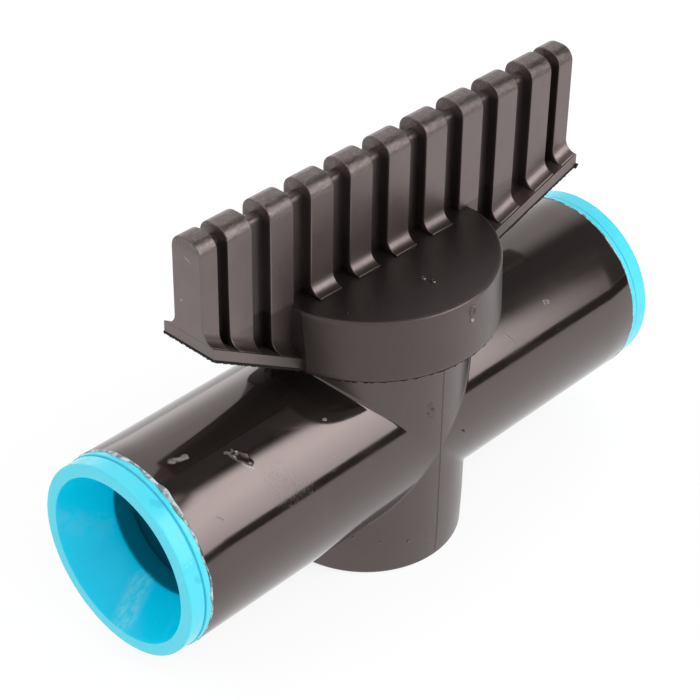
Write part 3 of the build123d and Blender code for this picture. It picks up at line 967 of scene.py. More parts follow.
def rib_comb_tree():
    """Ribs of the blade: one filleted outline, repeated along the blade."""
    net = GeometryWeave("Rib comb")
    put = net.inputs(Count="Int", Pitch="Float", Width="Float", End_Width="Float", Thickness="Float",
                     Top="Float", Top_Radius="Float", Foot_Radius="Float", Start="Float", End="Float",
                     Cap_Top="Float", Foot_Step="Float", Root_X="Float", Left_Root="Float", Left_Tip="Float",
                     Right_Root="Float", Right_Tip="Float", Material="Material")
    s = net.sum
    # Outline, across in x and up in y. The foot stands at height zero for now.
    half = s("MULTIPLY", put["Thickness"], 0.5)
    toe = s("ADD", half, put["Foot_Radius"])
    step, sunk = put["Foot_Step"], -0.6 * MM
    index = net.node("GeometryNodeInputIndex").outputs[0]
    away = lambda value: s("MULTIPLY", value, -1.0)
    corners = [net.xyz(away(toe), sunk), net.xyz(away(toe), step), net.xyz(away(half), step),
               net.xyz(away(half), put["Top"]), net.xyz(half, put["Top"]), net.xyz(half, step),
               net.xyz(toe, step), net.xyz(toe, sunk)]
    ring = net.node("GeometryNodeCurvePrimitiveCircle")
    ring.inputs["Resolution"].default_value = 8
    placed = net.chain("GeometryNodeSetPosition", ring.outputs[0],
                       Position=net.pick("VECTOR", index, corners))
    foot, top = put["Foot_Radius"], put["Top_Radius"]
    radii = net.pick("FLOAT", index, [0.0, 0.0, foot, top, top, foot, 0.0, 0.0])
    arcs = net.chain("GeometryNodeFilletCurve", placed.outputs[0], {"mode": "POLY"},
                     Radius=radii, Count=7)
    face = net.chain("GeometryNodeFillCurve", arcs.outputs[0], {"mode": "NGONS"})
    turn = net.chain("GeometryNodeTransform", face.outputs[0], Rotation=(pi / 2, 0, pi / 2),
                     Translation=(-0.5, 0, 0)).outputs[0]
    pushed = net.chain("GeometryNodeExtrudeMesh", turn, Offset=(1.0, 0, 0), Individual=False).outputs[0]
    back = net.chain("GeometryNodeFlipFaces", turn).outputs[0]
    bar = net.chain("GeometryNodeMergeByDistance", net.join(pushed, back), Distance=0.002 * MM).outputs[0]
    # A point for the middle of each rib; the first and last are narrower.
    line = net.node("GeometryNodeMeshLine")
    net.plug(put["Count"], line.inputs["Count"])
    last = s("SUBTRACT", put["Count"], 1.0)
    first_one = net.compare(index, "LESS_THAN", 0.5)
    last_one = net.compare(index, "GREATER_THAN", s("SUBTRACT", last, 0.5))
    middle = s("MULTIPLY", s("ADD", put["Start"], put["End"]), 0.5)
    from_middle = s("SUBTRACT", index, s("MULTIPLY", last, 0.5))
    centre = s("MULTIPLY_ADD", from_middle, put["Pitch"], middle)
    half_end = s("MULTIPLY", put["End_Width"], 0.5)
    centre = net.choose(first_one, centre, s("ADD", put["Start"], half_end))
    centre = net.choose(last_one, centre, s("SUBTRACT", put["End"], half_end))
    width = net.choose(first_one, put["Width"], put["End_Width"])
    width = net.choose(last_one, width, put["End_Width"])
    points = net.chain("GeometryNodeSetPosition", line.outputs[0], Position=net.xyz(centre)).outputs[0]
    marked = net.chain("GeometryNodeStoreNamedAttribute", points,
                       {"data_type": "FLOAT", "domain": "POINT"}, Name="rib_middle", Value=centre).outputs[0]
    copies = net.chain("GeometryNodeInstanceOnPoints", marked, Instance=bar, Scale=net.xyz(width, 1.0, 1.0))
    solid = net.chain("GeometryNodeRealizeInstances", copies.outputs[0]).outputs[0]
    # Feet follow the cap or the sloping wing under them.
    place = net.node("GeometryNodeInputPosition").outputs[0]
    x, _, z = net.axes(place)
    own = net.node("GeometryNodeInputNamedAttribute", data_type="FLOAT")
    own.inputs["Name"].default_value = "rib_middle"
    own = own.outputs[0]
    right = s("DIVIDE", s("SUBTRACT", put["Right_Tip"], put["Right_Root"]),
              s("SUBTRACT", put["End"], put["Root_X"]))
    left = s("DIVIDE", s("SUBTRACT", put["Left_Tip"], put["Left_Root"]),
             s("SUBTRACT", away(put["Start"]), put["Root_X"]))
    on_left = net.compare(own, "LESS_THAN", 0.0)
    slope = net.choose(on_left, right, left)
    run = s("SUBTRACT", net.choose(on_left, x, away(x)), put["Root_X"])
    wing = s("MULTIPLY_ADD", run, slope, net.choose(on_left, put["Right_Root"], put["Left_Root"]))
    on_cap = net.compare(s("ABSOLUTE", own), "LESS_THAN", s("SUBTRACT", put["Root_X"], 0.1 * MM))
    ground = net.choose(on_cap, s("SUBTRACT", wing, 0.2 * MM), put["Cap_Top"])
    low = net.compare(z, "LESS_THAN", s("MULTIPLY", put["Foot_Radius"], 2.0))
    lifted = net.chain("GeometryNodeSetPosition", solid, Selection=low,
                       Offset=net.xyz(0.0, 0.0, ground)).outputs[0]
    shaded = net.chain("GeometryNodeSetShadeSmooth", lifted).outputs[0]
    clothed = net.chain("GeometryNodeSetMaterial", shaded, Material=put["Material"])
    out = net.node("NodeGroupOutput")
    net.tree.links.new(clothed.outputs[0], out.inputs[0])
    return net


def rib_comb(look, material):
    """The ribs as one plain mesh."""
    net = rib_comb_tree()
    values = {
        "Count": look.rib_count, "Pitch": look.rib_pitch, "Width": look.rib_width,
        "End_Width": look.end_rib_width, "Thickness": look.rib_thickness,
        "Top": HANDLE_TOP * MM, "Top_Radius": look.top_round, "Foot_Radius": look.foot_round,
        "Start": (BLADE_LEFT + END_INSET) * MM, "End": (BLADE_RIGHT - END_INSET) * MM,
        "Cap_Top": CAP_TOP * MM,
        "Foot_Step": FOOT_STEP * MM, "Root_X": WING_ROOT_X * MM,
        "Left_Root": LEFT_WING[0] * MM, "Left_Tip": LEFT_WING[1] * MM,
        "Right_Root": RIGHT_WING[0] * MM, "Right_Tip": RIGHT_WING[1] * MM, "Material": material,
    }
    piece = piece_from("rib_comb", [], [])
    comb = piece.modifiers.new("Rib comb", "NODES")
    comb.node_group = net.tree
    for name, value in values.items():
        comb[net.sockets[name].identifier] = value
    bake_modifiers(piece)
    if len(piece.data.vertices) < 8 * look.rib_count:
        raise RuntimeError("the rib comb came out empty")
    weld(piece, 0.001)
    return soften(piece, look.edge_round / MM)


def prism(name, outline, low, high):
    """A closed solid from an (x, z) outline between two y stations."""
    verts = [(x, low, z) for x, z in outline] + [(x, high, z) for x, z in outline]
    count = len(outline)
    faces = [tuple(range(count)), tuple(reversed(range(count, 2 * count)))]
    faces += [(k, (k + 1) % count, (k + 1) % count + count, k + count) for k in range(count)]
    return weld(piece_from(name, verts, faces), 0.0005)


def wing_top(side, away):
    """Height of a wing's upper face at a distance from the stem."""
    root, tip = LEFT_WING if side < 0 else RIGHT_WING
    reach = abs(BLADE_LEFT) if side < 0 else BLADE_RIGHT
    return root + (tip - root) * max(away - WING_ROOT_X, 0.0) / (reach - WING_ROOT_X)


def web_slab(look):
    """The thin blade between the ribs, rounded along its top."""
    half, top = look.web_thickness / MM / 2, HANDLE_TOP - look.web_drop / MM
    arcs = rounded([(half, 0, 0), (half, 1, 0.8), (-half, 1, 0.8), (-half, 0, 0)], steps=6)
    over_cavity, sunk = WING_ROOT_X - 0.8, WING_THICKNESS / 2
    rows = []
    for x, floor in (
        (BLADE_LEFT + WEB_INSET, wing_top(-1, -BLADE_LEFT - WEB_INSET) - sunk),
        (-WING_ROOT_X, LEFT_WING[0] - sunk), (-over_cavity, LEFT_WING[0] - sunk),
        (-over_cavity + 0.01, CAVITY_TOP + 0.6), (over_cavity - 0.01, CAVITY_TOP + 0.6),
        (over_cavity, RIGHT_WING[0] - sunk), (WING_ROOT_X, RIGHT_WING[0] - sunk),
        (BLADE_RIGHT - WEB_INSET, wing_top(1, BLADE_RIGHT - WEB_INSET) - sunk),
    ):
        rows.append([(x, y, floor if b == 0 else top - 1 + b) for y, b in arcs])
    return solid_from("web", rows)


def wing_plate(side, reach):
    """One sloping flange under the blade."""
    stations = (reach, WING_ROOT_X, WING_ROOT_X - WING_INSET)
    top = [(side * away, wing_top(side, away)) for away in stations]
    under = [(x, z - WING_THICKNESS) for x, z in reversed(top)]
    return prism("wing", top + under, -WING_HALF, WING_HALF)


def flash_strip(path, seed, reach, drop, lumps=()):
    """A ragged skin of plastic along an edge: path holds (x, y, z, out x, out y)."""
    draw = np.random.default_rng(seed)
    count = len(path)
    run = np.linspace(0, 2 * pi, count, endpoint=False)
    out = np.clip(reach * (1 + 0.55 * wobble(run, seed, low=9, high=150)
                           + 0.25 * draw.standard_normal(count)), 0.015, 2.2 * reach)
    down = np.clip(drop * (1 + 0.45 * wobble(run, seed + 1, low=9, high=150)
                           + 0.22 * draw.standard_normal(count)), 0.02, 2.0 * drop)
    rows = []
    for k, (x, y, z, ox, oy) in enumerate(path):
        lump = sum(size * np.exp(-((x - lx) ** 2 + (y - ly) ** 2) / 0.12) for lx, ly, size in lumps)
        o, d = out[k] + lump, down[k] + 0.8 * lump
        loop = [(-0.30, 0.34), (0.015, 0.28), (o, 0.12), (o - 0.03, 0.02), (0.01 + 0.5 * lump, -d),
                (-0.12, -0.9 * d), (-0.30, 0.05)]
        rows.append([(x + ox * a, y + oy * a, z + b) for a, b in loop])
    return rows


def wing_flash(side, reach, seed, lumps=()):
    """Flash round the lower edge of a wing, from the cap out and back."""
    path = []
    aways = np.linspace(WING_ROOT_X + 0.5, reach - 0.12, 150)
    under = [wing_top(side, away) - WING_THICKNESS for away in aways]
    tip_z = wing_top(side, reach) - WING_THICKNESS
    path += [(side * a, -WING_HALF, z, 0, -1) for a, z in zip(aways, under)]
    path += [(side * reach, -WING_HALF + 0.04, tip_z, side * 0.9, -0.9)]
    path += [(side * reach, y, tip_z, side, 0) for y in np.linspace(-WING_HALF + 0.15, WING_HALF - 0.15, 70)]
    path += [(side * reach, WING_HALF - 0.04, tip_z, side * 0.9, 0.9)]
    path += [(side * a, WING_HALF, z, 0, 1) for a, z in zip(aways[::-1], under[::-1])]
    rows = flash_strip(path, seed, 0.09, 0.17, lumps)
    return solid_from("flash", rows, 0.0003)


def cap_flash(seed):
    """Flash round the cap's lower rim."""
    loop = cap_section(CAP_FOOT_RADIUS - FLASH_INSET, CAP_FLAT - 0.08, CAP_CORNER, (40, 6, 260))
    count = len(loop)
    path = []
    for k, (x, y) in enumerate(loop):
        ax, ay = loop[k - 1]
        bx, by = loop[(k + 1) % count]
        far = sqrt((bx - ax) ** 2 + (by - ay) ** 2)
        path.append((x, y, HANDLE_FOOT + 0.08, (by - ay) / far, -(bx - ax) / far))
    rows = flash_strip(path, seed, 0.05, 0.24)
    return hoop_from("hem", rows, 0.0003)


def scar(centre, facing, sizes, rim, hollow, seed, along=(1, 0, 0)):
    """A small raised mark: an uneven rim round a flat or domed middle."""
    out = Vector(facing).normalized()
    aside = Vector(along)
    aside = (aside - out * aside.dot(out)).normalized()
    above = out.cross(aside)
    count = 40
    angles = np.linspace(0, 2 * pi, count, endpoint=False)
    uneven = 1 + 0.16 * wobble(angles, seed, low=2, high=7)
    lift = 1 + 0.30 * wobble(angles, seed + 1, low=1, high=6)
    rows = []
    for share_, height in ((1.15, -0.25), (1.0, -0.02), (0.90, 0.6 * rim), (0.78, rim), (0.62, rim),
                           (0.48, 0.55 * rim + 0.4 * hollow), (0.36, hollow), (0.15, hollow)):
        row = []
        for k in range(count):
            reach = share_ * uneven[k]
            up = height * (lift[k] if height > 0.02 else 1.0)
            spot = (Vector(centre) + aside * (cos(angles[k]) * sizes[0] * reach)
                    + above * (sin(angles[k]) * sizes[1] * reach) + out * up)
            row.append(tuple(spot))
        rows.append(row)
    return solid_from("scar", rows)


def cap_section(radius, flat, corner, counts=(14, 6, 84)):
    """A circle trimmed by two flats, with rounded corners, as (x, y) points."""
    flats, corners, arcs = counts
    cx = flat - corner
    cy = sqrt(max((radius - corner) ** 2 - cx ** 2, 0.01))
    swing = atan2(cy, cx)
    turn = [swing * k / corners for k in range(corners)]
    sweep = [swing + (pi - 2 * swing) * k / arcs for k in range(arcs)]
    back = [swing * (1 - k / corners) for k in range(corners)]
    half = [(flat, -cy + 2 * cy * k / flats) for k in range(flats)]
    half += [(cx + corner * cos(t), cy + corner * sin(t)) for t in turn]
    half += [(radius * cos(t), radius * sin(t)) for t in sweep]
    half += [(-cx - corner * cos(t), cy + corner * sin(t)) for t in back]
    # The other half is the same, turned half a circle about the stem.
    return half + [(-x, -y) for x, y in half]


def cap_shell():
    """The trimmed round cap, hollow underneath, with its square drive."""
    edge, hem = 0.4, 0.18
    height = CAP_TOP - HANDLE_FOOT

    def radius_at(z):
        return CAP_FOOT_RADIUS + (CAP_TOP_RADIUS - CAP_FOOT_RADIUS) * (z - HANDLE_FOOT) / height

    def section(z, inset=0.0):
        loop = cap_section(radius_at(z) - inset, CAP_FLAT - inset, CAP_CORNER)
        return [(x, y, z) for x, y in loop]

    outer = [section(HANDLE_FOOT, hem)]
    for k in range(1, 4):
        t = radians(30 * k)
        outer.append(section(HANDLE_FOOT + hem * (1 - cos(t)), hem * (1 - sin(t))))
    outer += [section(HANDLE_FOOT + height * t) for t in (0.08, 0.25, 0.5, 0.75, 0.9)]
    for k in range(0, 7):
        t = radians(15 * k)
        outer.append(section(CAP_TOP - edge * (1 - sin(t)), edge * (1 - cos(t))))
    outer.append(section(CAP_TOP, edge + 0.35))
    angles = [atan2(y, x) for x, y, _ in section(HANDLE_FOOT)]

    def circle(z, r):
        return [(r * cos(a), r * sin(a), z) for a in angles]

    def square(z):
        return [(SOCKET_HALF * cos(a) / max(abs(cos(a)), abs(sin(a))),
                 SOCKET_HALF * sin(a) / max(abs(cos(a)), abs(sin(a))), z) for a in angles]

    under = [square(SOCKET_TOP), square(BOSS_Z), circle(BOSS_Z, BOSS_RADIUS), circle(CAVITY_TOP, BOSS_RADIUS),
             circle(CAVITY_TOP, CAVITY_RADIUS - 0.5), circle(CAVITY_TOP - 0.5, CAVITY_RADIUS),
             circle(HANDLE_FOOT + 0.15, CAVITY_RADIUS), circle(HANDLE_FOOT, CAVITY_RADIUS + 0.15)]
    rows = under + outer
    return solid_from("cap", rows)


def stop_tab(middle_deg):
    """One of the two tabs under the cap that meet the lugs on the neck."""
    outer = CAVITY_RADIUS + 0.3
    rows = []
    for k in range(19):
        a = radians(middle_deg) + STOP_SPAN * (k / 18 - 0.5)
        rows.append([(r * cos(a), r * sin(a), z) for r, z in
                     ((TAB_INNER, LUG_Z), (outer, LUG_Z), (outer, TAB_TOP), (TAB_INNER, TAB_TOP))])
    return solid_from("tab", rows)


def cap_foot(look, spans):
    """Feet of a rib that half stands on the cap's edge."""
    half, radius = look.rib_thickness / MM / 2, look.foot_round / MM
    made = []
    for low, high in spans:
        for front in (-1, 1):
            loop = [(half - 0.4, -0.4), (half + radius, -0.4), (half + radius, FOOT_STEP)]
            loop += [(half + radius - radius * sin(radians(90 * k / 8)),
                      FOOT_STEP + radius * (1 - cos(radians(90 * k / 8)))) for k in range(1, 9)]
            loop += [(half - 0.4, FOOT_STEP + radius)]
            rows = [[(x, front * y, CAP_TOP + z) for y, z in loop] for x in (low, high)]
            made.append(solid_from("foot", rows))
    return made


def handle_finish(look):
    """Warm satin black with a fine moulded grain, rubbed on its ribs, and a little dust."""
    coat = Finish("handle_black", look.colour, look.roughness, ior=1.88, Specular_Tint=WARM)
    x, y, z = coat.axes(coat.place)
    from_stem = coat.from_stem()
    cloud = coat.noise(7.0, 4.0, 0.6)
    coat.tint(coat.ramp(cloud, 0.3, 0.75), tuple(c * 1.25 for c in look.colour), 0.7)
    coat.roughen(coat.ramp(coat.noise(4.0, 3.0), 0.35, 0.7), 0.06)
    # Ribs and wings shine more; the slots between the ribs and the cap's top get painted shade, darker and
    # less shiny.
    half = look.rib_thickness / 2
    rubbed = coat.sum("MAXIMUM", coat.ramp(z, (CAP_TOP + 0.3) * MM, (CAP_TOP + 0.9) * MM),
                      coat.ramp(from_stem, (CAP_FOOT_RADIUS + 2) * MM, (CAP_FOOT_RADIUS + 11) * MM))
    slot = coat.ramp(coat.sum("ABSOLUTE", y), half - 0.15 * MM, half - 0.55 * MM)
    slot = coat.sum("MULTIPLY", slot, coat.ramp(z, (HANDLE_TOP - 1.2) * MM, (HANDLE_TOP - 2.2) * MM))
    slot = coat.sum("MULTIPLY", slot, coat.ramp(x, (BLADE_LEFT + 0.08) * MM, (BLADE_LEFT + 0.4) * MM))
    lid = coat.sum("MULTIPLY", coat.ramp(z, (CAP_TOP - 0.14) * MM, (CAP_TOP - 0.02) * MM),
                   coat.ramp(z, (CAP_TOP + 0.5) * MM, (CAP_TOP + 0.12) * MM))
    lid = coat.sum("MULTIPLY", lid, coat.ramp(from_stem, (CAP_TOP_RADIUS - 0.15) * MM,
                                              (CAP_TOP_RADIUS - 0.5) * MM))
    dull_and_shaded = coat.sum("MAXIMUM", slot, lid)
    # Painted shade: the slots and the cap's top are darkened.
    coat.tint(dull_and_shaded, (0.0065, 0.0050, 0.0046), 0.9)
    coat.shine = coat.sum("MULTIPLY_ADD", rubbed, look.rub, 0.5)
    # Scuffs along the tops of the ribs.
    crown = coat.ramp(z, (HANDLE_TOP - 2.2) * MM, (HANDLE_TOP - 0.9) * MM)
    scuff = coat.ramp(coat.noise(0.42, 4.0, 0.65, stretch=(0.4, 1.0, 1.0)), 0.42, 0.68)
    scuff = coat.sum("MULTIPLY", scuff, crown)
    coat.tint(scuff, (0.090, 0.076, 0.071), 0.55)
    coat.shine = coat.sum("MULTIPLY_ADD", scuff, 0.16, coat.sum("MULTIPLY_ADD", crown, -0.18, coat.shine))
    streak = coat.ramp(coat.noise(0.30, 3.0, 0.6, stretch=(1.0, 1.0, 0.10)), 0.55, 0.75)
    coat.tint(coat.sum("MULTIPLY", streak, rubbed), (0.050, 0.042, 0.040), 0.35)
    coat.dim(dull_and_shaded, 0.45)
    coat.dim(crown, 0.08)
    coat.dim(coat.without(coat.ramp(x, 4 * MM, -16 * MM), rubbed), 0.30)
    grain = coat.noise(0.16, 3.0, 0.6)
    coat.raise_by(grain, 0.015)
    pebble = coat.noise(0.7, 3.0, 0.5)
    coat.raise_by(pebble, 0.018)
    dust = coat.specks(0.9, 0.055, 0.28)
    coat.tint(dust, (0.16, 0.145, 0.135), 0.7)
    coat.raise_by(dust, 0.01)
    coat.tint(coat.strokes(HANDLE_RUBS, 0.7, 0.25), (0.34, 0.31, 0.30), 0.8)
    return coat.done()


def flash_finish(look):
    """The ragged skin of flash along the lower edges, matte and darkened with painted shade for the shade
    under those edges.
    """
    # Painted shade: the flash gets a much darker black than the handle, standing for the shade under the
    # edges.
    coat = Finish("handle_flash", tuple(c * 0.25 for c in look.colour), 0.55, ior=1.45)
    coat.tint(coat.ramp(coat.noise(0.5, 3.0, 0.6), 0.60, 0.72), (0.10, 0.09, 0.085), 0.5)
    coat.roughen(coat.noise(0.25, 3.0), 0.2)
    coat.raise_by(coat.noise(0.12, 3.0, 0.6), 0.02)
    coat.shader.inputs["Specular IOR Level"].default_value = 0.3
    return coat.done()


class VALVE_OT_handle(bpy.types.Operator):
    """Builds the comb handle: cap, wings, web and ribs"""
    bl_idname = "valve.handle"
    bl_label = "Build Handle"

    def execute(self, context):
        look = context.scene.valve_handle
        material = handle_finish(look)
        shells = [cap_shell(), rib_comb(look, material), web_slab(look)]
        for tip, side in ((BLADE_LEFT, -1), (BLADE_RIGHT, 1)):
            shells.append(soften(wing_plate(side, abs(tip)), 0.07, 2))
        # Ribs that stand half on the cap and half on the wing get feet of their own.
        inner = look.rib_count - 2
        spans = []
        for k in range(inner):
            middle = (BLADE_LEFT + BLADE_RIGHT) / 2 + (k - (inner - 1) / 2) * look.rib_pitch / MM
            low, high = middle - look.rib_width / MM / 2, middle + look.rib_width / MM / 2
            if low < CAP_FLAT - 0.6 < high and middle > CAP_FLAT:
                spans.append((low + 0.05, CAP_FLAT - 0.1))
        shells += [soften(foot, 0.12, 2) for foot in cap_foot(look, spans)]
        shells += [soften(stop_tab(a), 0.15, 2) for a in (-45, 135)]
        # Small raised marks on the cap's side and on its top.
        shells += [
            scar((0.62, -17.74, 43.45), (0.034, -1, 0.03), (0.70, 0.98), 0.17, 0.0, 61),
            scar((0.52, -17.76, 42.20), (0.034, -1, 0.03), (0.46, 0.50), 0.13, 0.15, 62),
            scar((-0.42, -10.10, CAP_TOP), (0, 0, 1), (0.46, 0.40), 0.20, 0.03, 63),
            scar((-0.10, -11.45, CAP_TOP), (0, 0, 1), (0.44, 0.44), 0.20, 0.03, 64),
            scar((-13.2, -8.6, CAP_TOP), (0, 0, 1), (0.26, 0.22), 0.10, 0.04, 65),
        ]
        piece = joined("handle_moulding", shells)
        steady_shading(piece)
        dress(piece, material)
        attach(piece, "handle")
        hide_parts("handle")
        # Flash along the lower edges, darkened with painted shade.
        flash = joined("handle_flash", [
            wing_flash(-1, -BLADE_LEFT, 21),
            wing_flash(1, BLADE_RIGHT, 22, ((BLADE_RIGHT, -WING_HALF, 0.30),)),
            cap_flash(23),
        ])
        smooth(flash, 60)
        dress(flash, flash_finish(look))
        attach(flash, "handle")
        return {"FINISHED"}


# ------------------------------------------------------------- inner parts

def core_finish(name, colour, roughness, grain_mm, depth_mm, ior=1.5, **sockets):
    """A plain material for the parts inside, with grain and slight clouding."""
    coat = Finish(name, colour, roughness, ior=ior, **sockets)
    coat.tint(coat.ramp(coat.noise(5.0, 3.0), 0.35, 0.7), tuple(c * 0.86 for c in colour), 0.8)
    coat.roughen(coat.ramp(coat.noise(2.0, 3.0), 0.4, 0.7), 0.10)
    coat.raise_by(coat.noise(grain_mm, 3.0, 0.6), depth_mm)
    coat.tint(coat.specks(1.4, 0.05, 0.3), tuple(min(1.0, c * 1.6 + 0.03) for c in colour), 0.6)
    return coat.done()


class VALVE_OT_inner_parts(bpy.types.Operator):
    """Gives the ball, seats, stem, bonnet and rings their materials"""
    bl_idname = "valve.inner_parts"
    bl_label = "Finish Inner Parts"

    def execute(self, context):
        look = context.scene.valve_inner
        ball = core_finish("ball_polished", look.ball_colour, 0.12, 0.6, 0.002)
        stem = core_finish("stem_natural", look.stem_colour, 0.38, 0.4, 0.006,
                           Subsurface_Weight=0.1, Subsurface_Scale=0.001)
        seat = core_finish("seat_white", look.seat_colour, 0.45, 0.5, 0.005)
        core = core_finish("core_black", look.core_colour, 0.42, 0.2, 0.008)
        seal = core_finish("seal_rubber", look.seal_colour, 0.62, 0.12, 0.010, ior=1.45)
        wear = {"ball": ball, "stem": stem, "thrust_washer": seat, "bonnet": core,
                "bonnet_oring": seal, "stem_oring_lower": seal, "stem_oring_upper": seal}
        for side in ("left", "right"):
            wear[f"cage_{side}"] = core
            wear[f"seat_{side}"] = seat
            wear[f"seat_oring_{side}"] = seal
        for node, material in wear.items():
            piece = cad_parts[node]
            if not piece.data.materials:
                piece.data.materials.append(material)
            for socket in piece.material_slots:
                socket.material = material
        return {"FINISHED"}


# ------------------------------------------------------------------- stage

AIM_LEFT, AIM_UP = 2.254, 7.623     # where the camera's line passes the flow axis
FLOOR_HALF = 4.0                    # metres
FLOOR_GAP = 0.03                    # keeps the floor just clear of the foot
CARD_AZIMUTH, CARD_REACH = 36, 0.45


def floor_material(look):
    """A pale floor that shows white to the camera and keeps the shadow."""
    material = bpy.data.materials.new("floor_pale")
    material.use_nodes = True
    net = Weave(material.node_tree)
    shader = net.tree.nodes["Principled BSDF"]
    shader.inputs["Base Color"].default_value = (*look.floor_colour, 1.0)
    shader.inputs["Roughness"].default_value = 0.9
    shader.inputs["Specular IOR Level"].default_value = 0.1
    glow = net.node("ShaderNodeEmission")
    glow.inputs["Color"].default_value = (1, 1, 1, 1)
    path = net.node("ShaderNodeLightPath")
    net.plug(net.sum("MULTIPLY_ADD", path.outputs["Is Glossy Ray"], 0.10, 1.10), glow.inputs["Strength"])
    seen = net.seen(path)
    mixed = net.node("ShaderNodeMixShader")
    net.plug(net.sum("MULTIPLY", seen, 0.76), mixed.inputs[0])
    net.plug(shader.outputs[0], mixed.inputs[1])
    net.plug(glow.outputs[0], mixed.inputs[2])
    net.plug(mixed.outputs[0], net.tree.nodes["Material Output"].inputs["Surface"])
    return material


def black_material():
    """The dark gap below the softbox."""
    material = bpy.data.materials.new("gobo_black")
    material.use_nodes = True
    shader = material.node_tree.nodes["Principled BSDF"]
    shader.inputs["Base Color"].default_value = (0.004, 0.004, 0.004, 1)
    shader.inputs["Roughness"].default_value = 1.0
    shader.inputs["Specular IOR Level"].default_value = 0.0
    return material


def heading(azimuth_deg, elevation_deg):
    """The direction from the valve towards a place in the room."""
    a, e = radians(azimuth_deg), radians(elevation_deg)
    return Vector((sin(a) * cos(e), -cos(a) * cos(e), sin(e)))


def card_object(name, verts, faces, material):
    """A studio card that lights and reflects but isn't seen itself."""
    mesh = bpy.data.meshes.new(name)
    mesh.from_pydata([tuple(v) for v in verts], [], faces)
    card = bpy.data.objects.new(name, mesh)
    card.visible_camera = False
    bpy.context.scene.collection.objects.link(card)
    return dress(card, material)


def flat_card(name, across, upright, material):
    """An upright card that faces the valve from one side."""
    away, a = heading(CARD_AZIMUTH, 0), radians(CARD_AZIMUTH)
    aside = Vector((cos(a), sin(a), 0))
    verts = [away * CARD_REACH + aside * u + Vector((0, 0, v))
             for u, v in ((across[0], upright[0]), (across[1], upright[0]),
                          (across[1], upright[1]), (across[0], upright[1]))]
    return card_object(name, verts, [(3, 2, 1, 0)], material)


def dome_card(name, reach, azimuths, elevations, material, steps=16):
    """Part of a dome round the valve between two directions and heights."""
    verts = [heading(azimuths[0] + (azimuths[1] - azimuths[0]) * i / steps,
                     elevations[0] + (elevations[1] - elevations[0]) * j / steps) * reach
             for j in range(steps + 1) for i in range(steps + 1)]
    wide = steps + 1
    faces = [(j * wide + i, (j + 1) * wide + i, (j + 1) * wide + i + 1, j * wide + i + 1)
             for j in range(steps) for i in range(steps)]
    return card_object(name, verts, faces, material)


def glowing(name):
    """A material that only gives light, and its weave."""
    material = bpy.data.materials.new(name)
    material.use_nodes = True
    net = Weave(material.node_tree)
    net.tree.nodes.remove(net.tree.nodes["Principled BSDF"])
    glow = net.node("ShaderNodeEmission")
    glow.inputs["Color"].default_value = (1, 1, 1, 1)
    net.plug(glow.outputs[0], net.tree.nodes["Material Output"].inputs["Surface"])
    net.place = net.node("ShaderNodeTexCoord").outputs["Object"]
    return material, net, glow.inputs["Strength"]


def softbox_material(look):
    """Brightest in its upper half, with a soft leaning edge on one side."""
    material, net, strength = glowing("softbox_cloth")
    a = radians(CARD_AZIMUTH)
    across = net.vector("DOT_PRODUCT", net.place, (cos(a), sin(a), 0))
    upright = net.axes(net.place)[2]
    lean = net.sum("MULTIPLY_ADD", upright, -0.15, across)
    edge = net.ramp(lean, 0.095, 0.010, 0.03, 1.0)
    rise = net.ramp(upright, 0.05, 0.33, 0.58, 1.0, soft=False)
    top = net.ramp(upright, 0.78, 0.52)
    level = net.sum("MULTIPLY", net.sum("MULTIPLY", edge, rise), net.sum("MULTIPLY", top, look.softbox))
    net.plug(level, strength)
    return material


def flag_material():
    """A dark side of the room that fades out towards the back."""
    material, net, strength = glowing("flag_dark")
    x, y, z = net.axes(net.place)
    turn = net.bearing(x, y)
    back = net.ramp(turn, radians(92), radians(117), 0.0, 0.9)
    front = net.ramp(turn, radians(54), radians(47), 0.0, 0.5)
    low = net.ramp(z, 0.42, 0.15, 0.0, 0.35)
    net.plug(net.sum("ADD", 0.10, net.sum("ADD", back, net.sum("ADD", front, low))), strength)
    return material


def glow_material():
    """The lit wall behind, brightest near the table."""
    material, net, strength = glowing("wall_lit")
    x, y, z = net.axes(net.place)
    turn = net.bearing(x, y)
    side = net.ramp(turn, radians(120), radians(140), 0.0, 1.0)
    high = net.ramp(z, 0.50, 0.08, 0.10, 1.00)
    net.plug(net.sum("ADD", 1.0, net.sum("MULTIPLY", side, high)), strength)
    return material


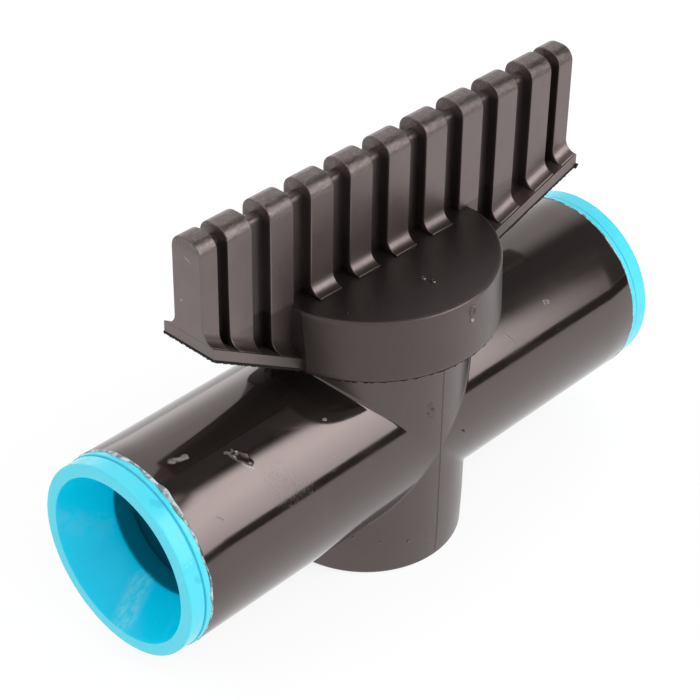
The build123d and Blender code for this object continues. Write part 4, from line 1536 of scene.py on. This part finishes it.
class VALVE_OT_stage(bpy.types.Operator):
    """Sets the pale floor, the soft lights and the camera"""
    bl_idname = "valve.stage"
    bl_label = "Set Stage"

    def execute(self, context):
        look = context.scene.valve_stage
        scene = context.scene
        scene.view_settings.view_transform = "Standard"
        # Floor, just under the foot of the well.
        half = FLOOR_HALF
        mesh = bpy.data.meshes.new("floor")
        mesh.from_pydata([(-half, -half, 0), (half, -half, 0), (half, half, 0), (-half, half, 0)],
                         [], [(0, 1, 2, 3)])
        floor = bpy.data.objects.new("floor", mesh)
        floor.location.z = -FLOOR_GAP * MM
        scene.collection.objects.link(floor)
        dress(floor, floor_material(look))
        cards = [
            flat_card("gap_card", (-0.26, 0.27), (0.0, 0.070), black_material()),
            flat_card("softbox_panel", (-0.20, 0.26), (0.072, 0.78), softbox_material(look)),
            dome_card("side_flag", 0.95, (47, 118), (9, 86), flag_material()),
            dome_card("back_glow", 1.0, (119, 172), (-2, 34), glow_material()),
        ]
        # World.
        world = bpy.data.worlds.new("studio_white")
        scene.world = world
        world.use_nodes = True
        net = Weave(world.node_tree)
        sky = world.node_tree.nodes["Background"]
        sky.inputs["Color"].default_value = (1, 1, 1, 1)
        seen = net.seen(net.node("ShaderNodeLightPath"))
        net.plug(net.sum("MULTIPLY_ADD", seen, 1.0 - look.sky, look.sky), sky.inputs["Strength"])
        # Camera.
        a, e, r = look.azimuth, look.elevation, look.roll
        back = Vector((sin(a) * cos(e), -cos(a) * cos(e), sin(e)))
        right = Vector((0, 0, 1)).cross(back).normalized()
        up = back.cross(right)
        across = right * cos(r) + up * sin(r)
        above = up * cos(r) - right * sin(r)
        lens = bpy.data.cameras.new("camera")
        lens.lens, lens.sensor_width = look.lens, 36.0
        lens.clip_start, lens.clip_end = 0.01, 20.0
        camera = bpy.data.objects.new("camera", lens)
        spot = Vector((0, 0, AXIS_HEIGHT * MM)) + back * look.distance
        spot += (above * AIM_UP - across * AIM_LEFT) * MM
        camera.matrix_world = Matrix((
            (across.x, above.x, back.x, spot.x),
            (across.y, above.y, back.y, spot.y),
            (across.z, above.z, back.z, spot.z),
            (0, 0, 0, 1)))
        scene.collection.objects.link(camera)
        scene.camera = camera
        return {"FINISHED"}


# ------------------------------------------------------------------- panel

class VALVE_PT_parts(bpy.types.Panel):
    """Lists the pieces of the valve"""
    bl_idname = "VALVE_PT_parts"
    bl_label = "Pipe Valve"
    bl_space_type = "VIEW_3D"
    bl_region_type = "UI"
    bl_category = "Valve"

    def draw(self, context):
        for group, operator in STEPS:
            box = self.layout.box()
            settings = getattr(context.scene, group)
            for key in settings.__annotations__:
                box.prop(settings, key)
            box.operator(operator)


STEPS = (
    ("valve_housing", "valve.housing"),
    ("valve_collars", "valve.collars"),
    ("valve_beads", "valve.beads"),
    ("valve_handle", "valve.handle"),
    ("valve_inner", "valve.inner_parts"),
    ("valve_stage", "valve.stage"),
)
GROUPS = {
    "valve_housing": HousingSettings, "valve_collars": CollarSettings,
    "valve_beads": BeadSettings, "valve_handle": HandleSettings,
    "valve_inner": InnerSettings, "valve_stage": StageSettings,
}
CLASSES = (
    *GROUPS.values(), VALVE_OT_housing, VALVE_OT_collars, VALVE_OT_beads, VALVE_OT_handle,
    VALVE_OT_inner_parts, VALVE_OT_stage, VALVE_PT_parts,
)


def register():
    for made in CLASSES:
        bpy.utils.register_class(made)
    for name, group in GROUPS.items():
        setattr(bpy.types.Scene, name, PointerProperty(type=group))


def unregister():
    for name in GROUPS:
        delattr(bpy.types.Scene, name)
    for made in reversed(CLASSES):
        bpy.utils.unregister_class(made)


def main():
    register()
    bpy.ops.valve.housing()
    bpy.ops.valve.collars()
    bpy.ops.valve.beads()
    bpy.ops.valve.handle()
    bpy.ops.valve.inner_parts()
    bpy.ops.valve.stage()


if __name__ == "__main__":
    main()
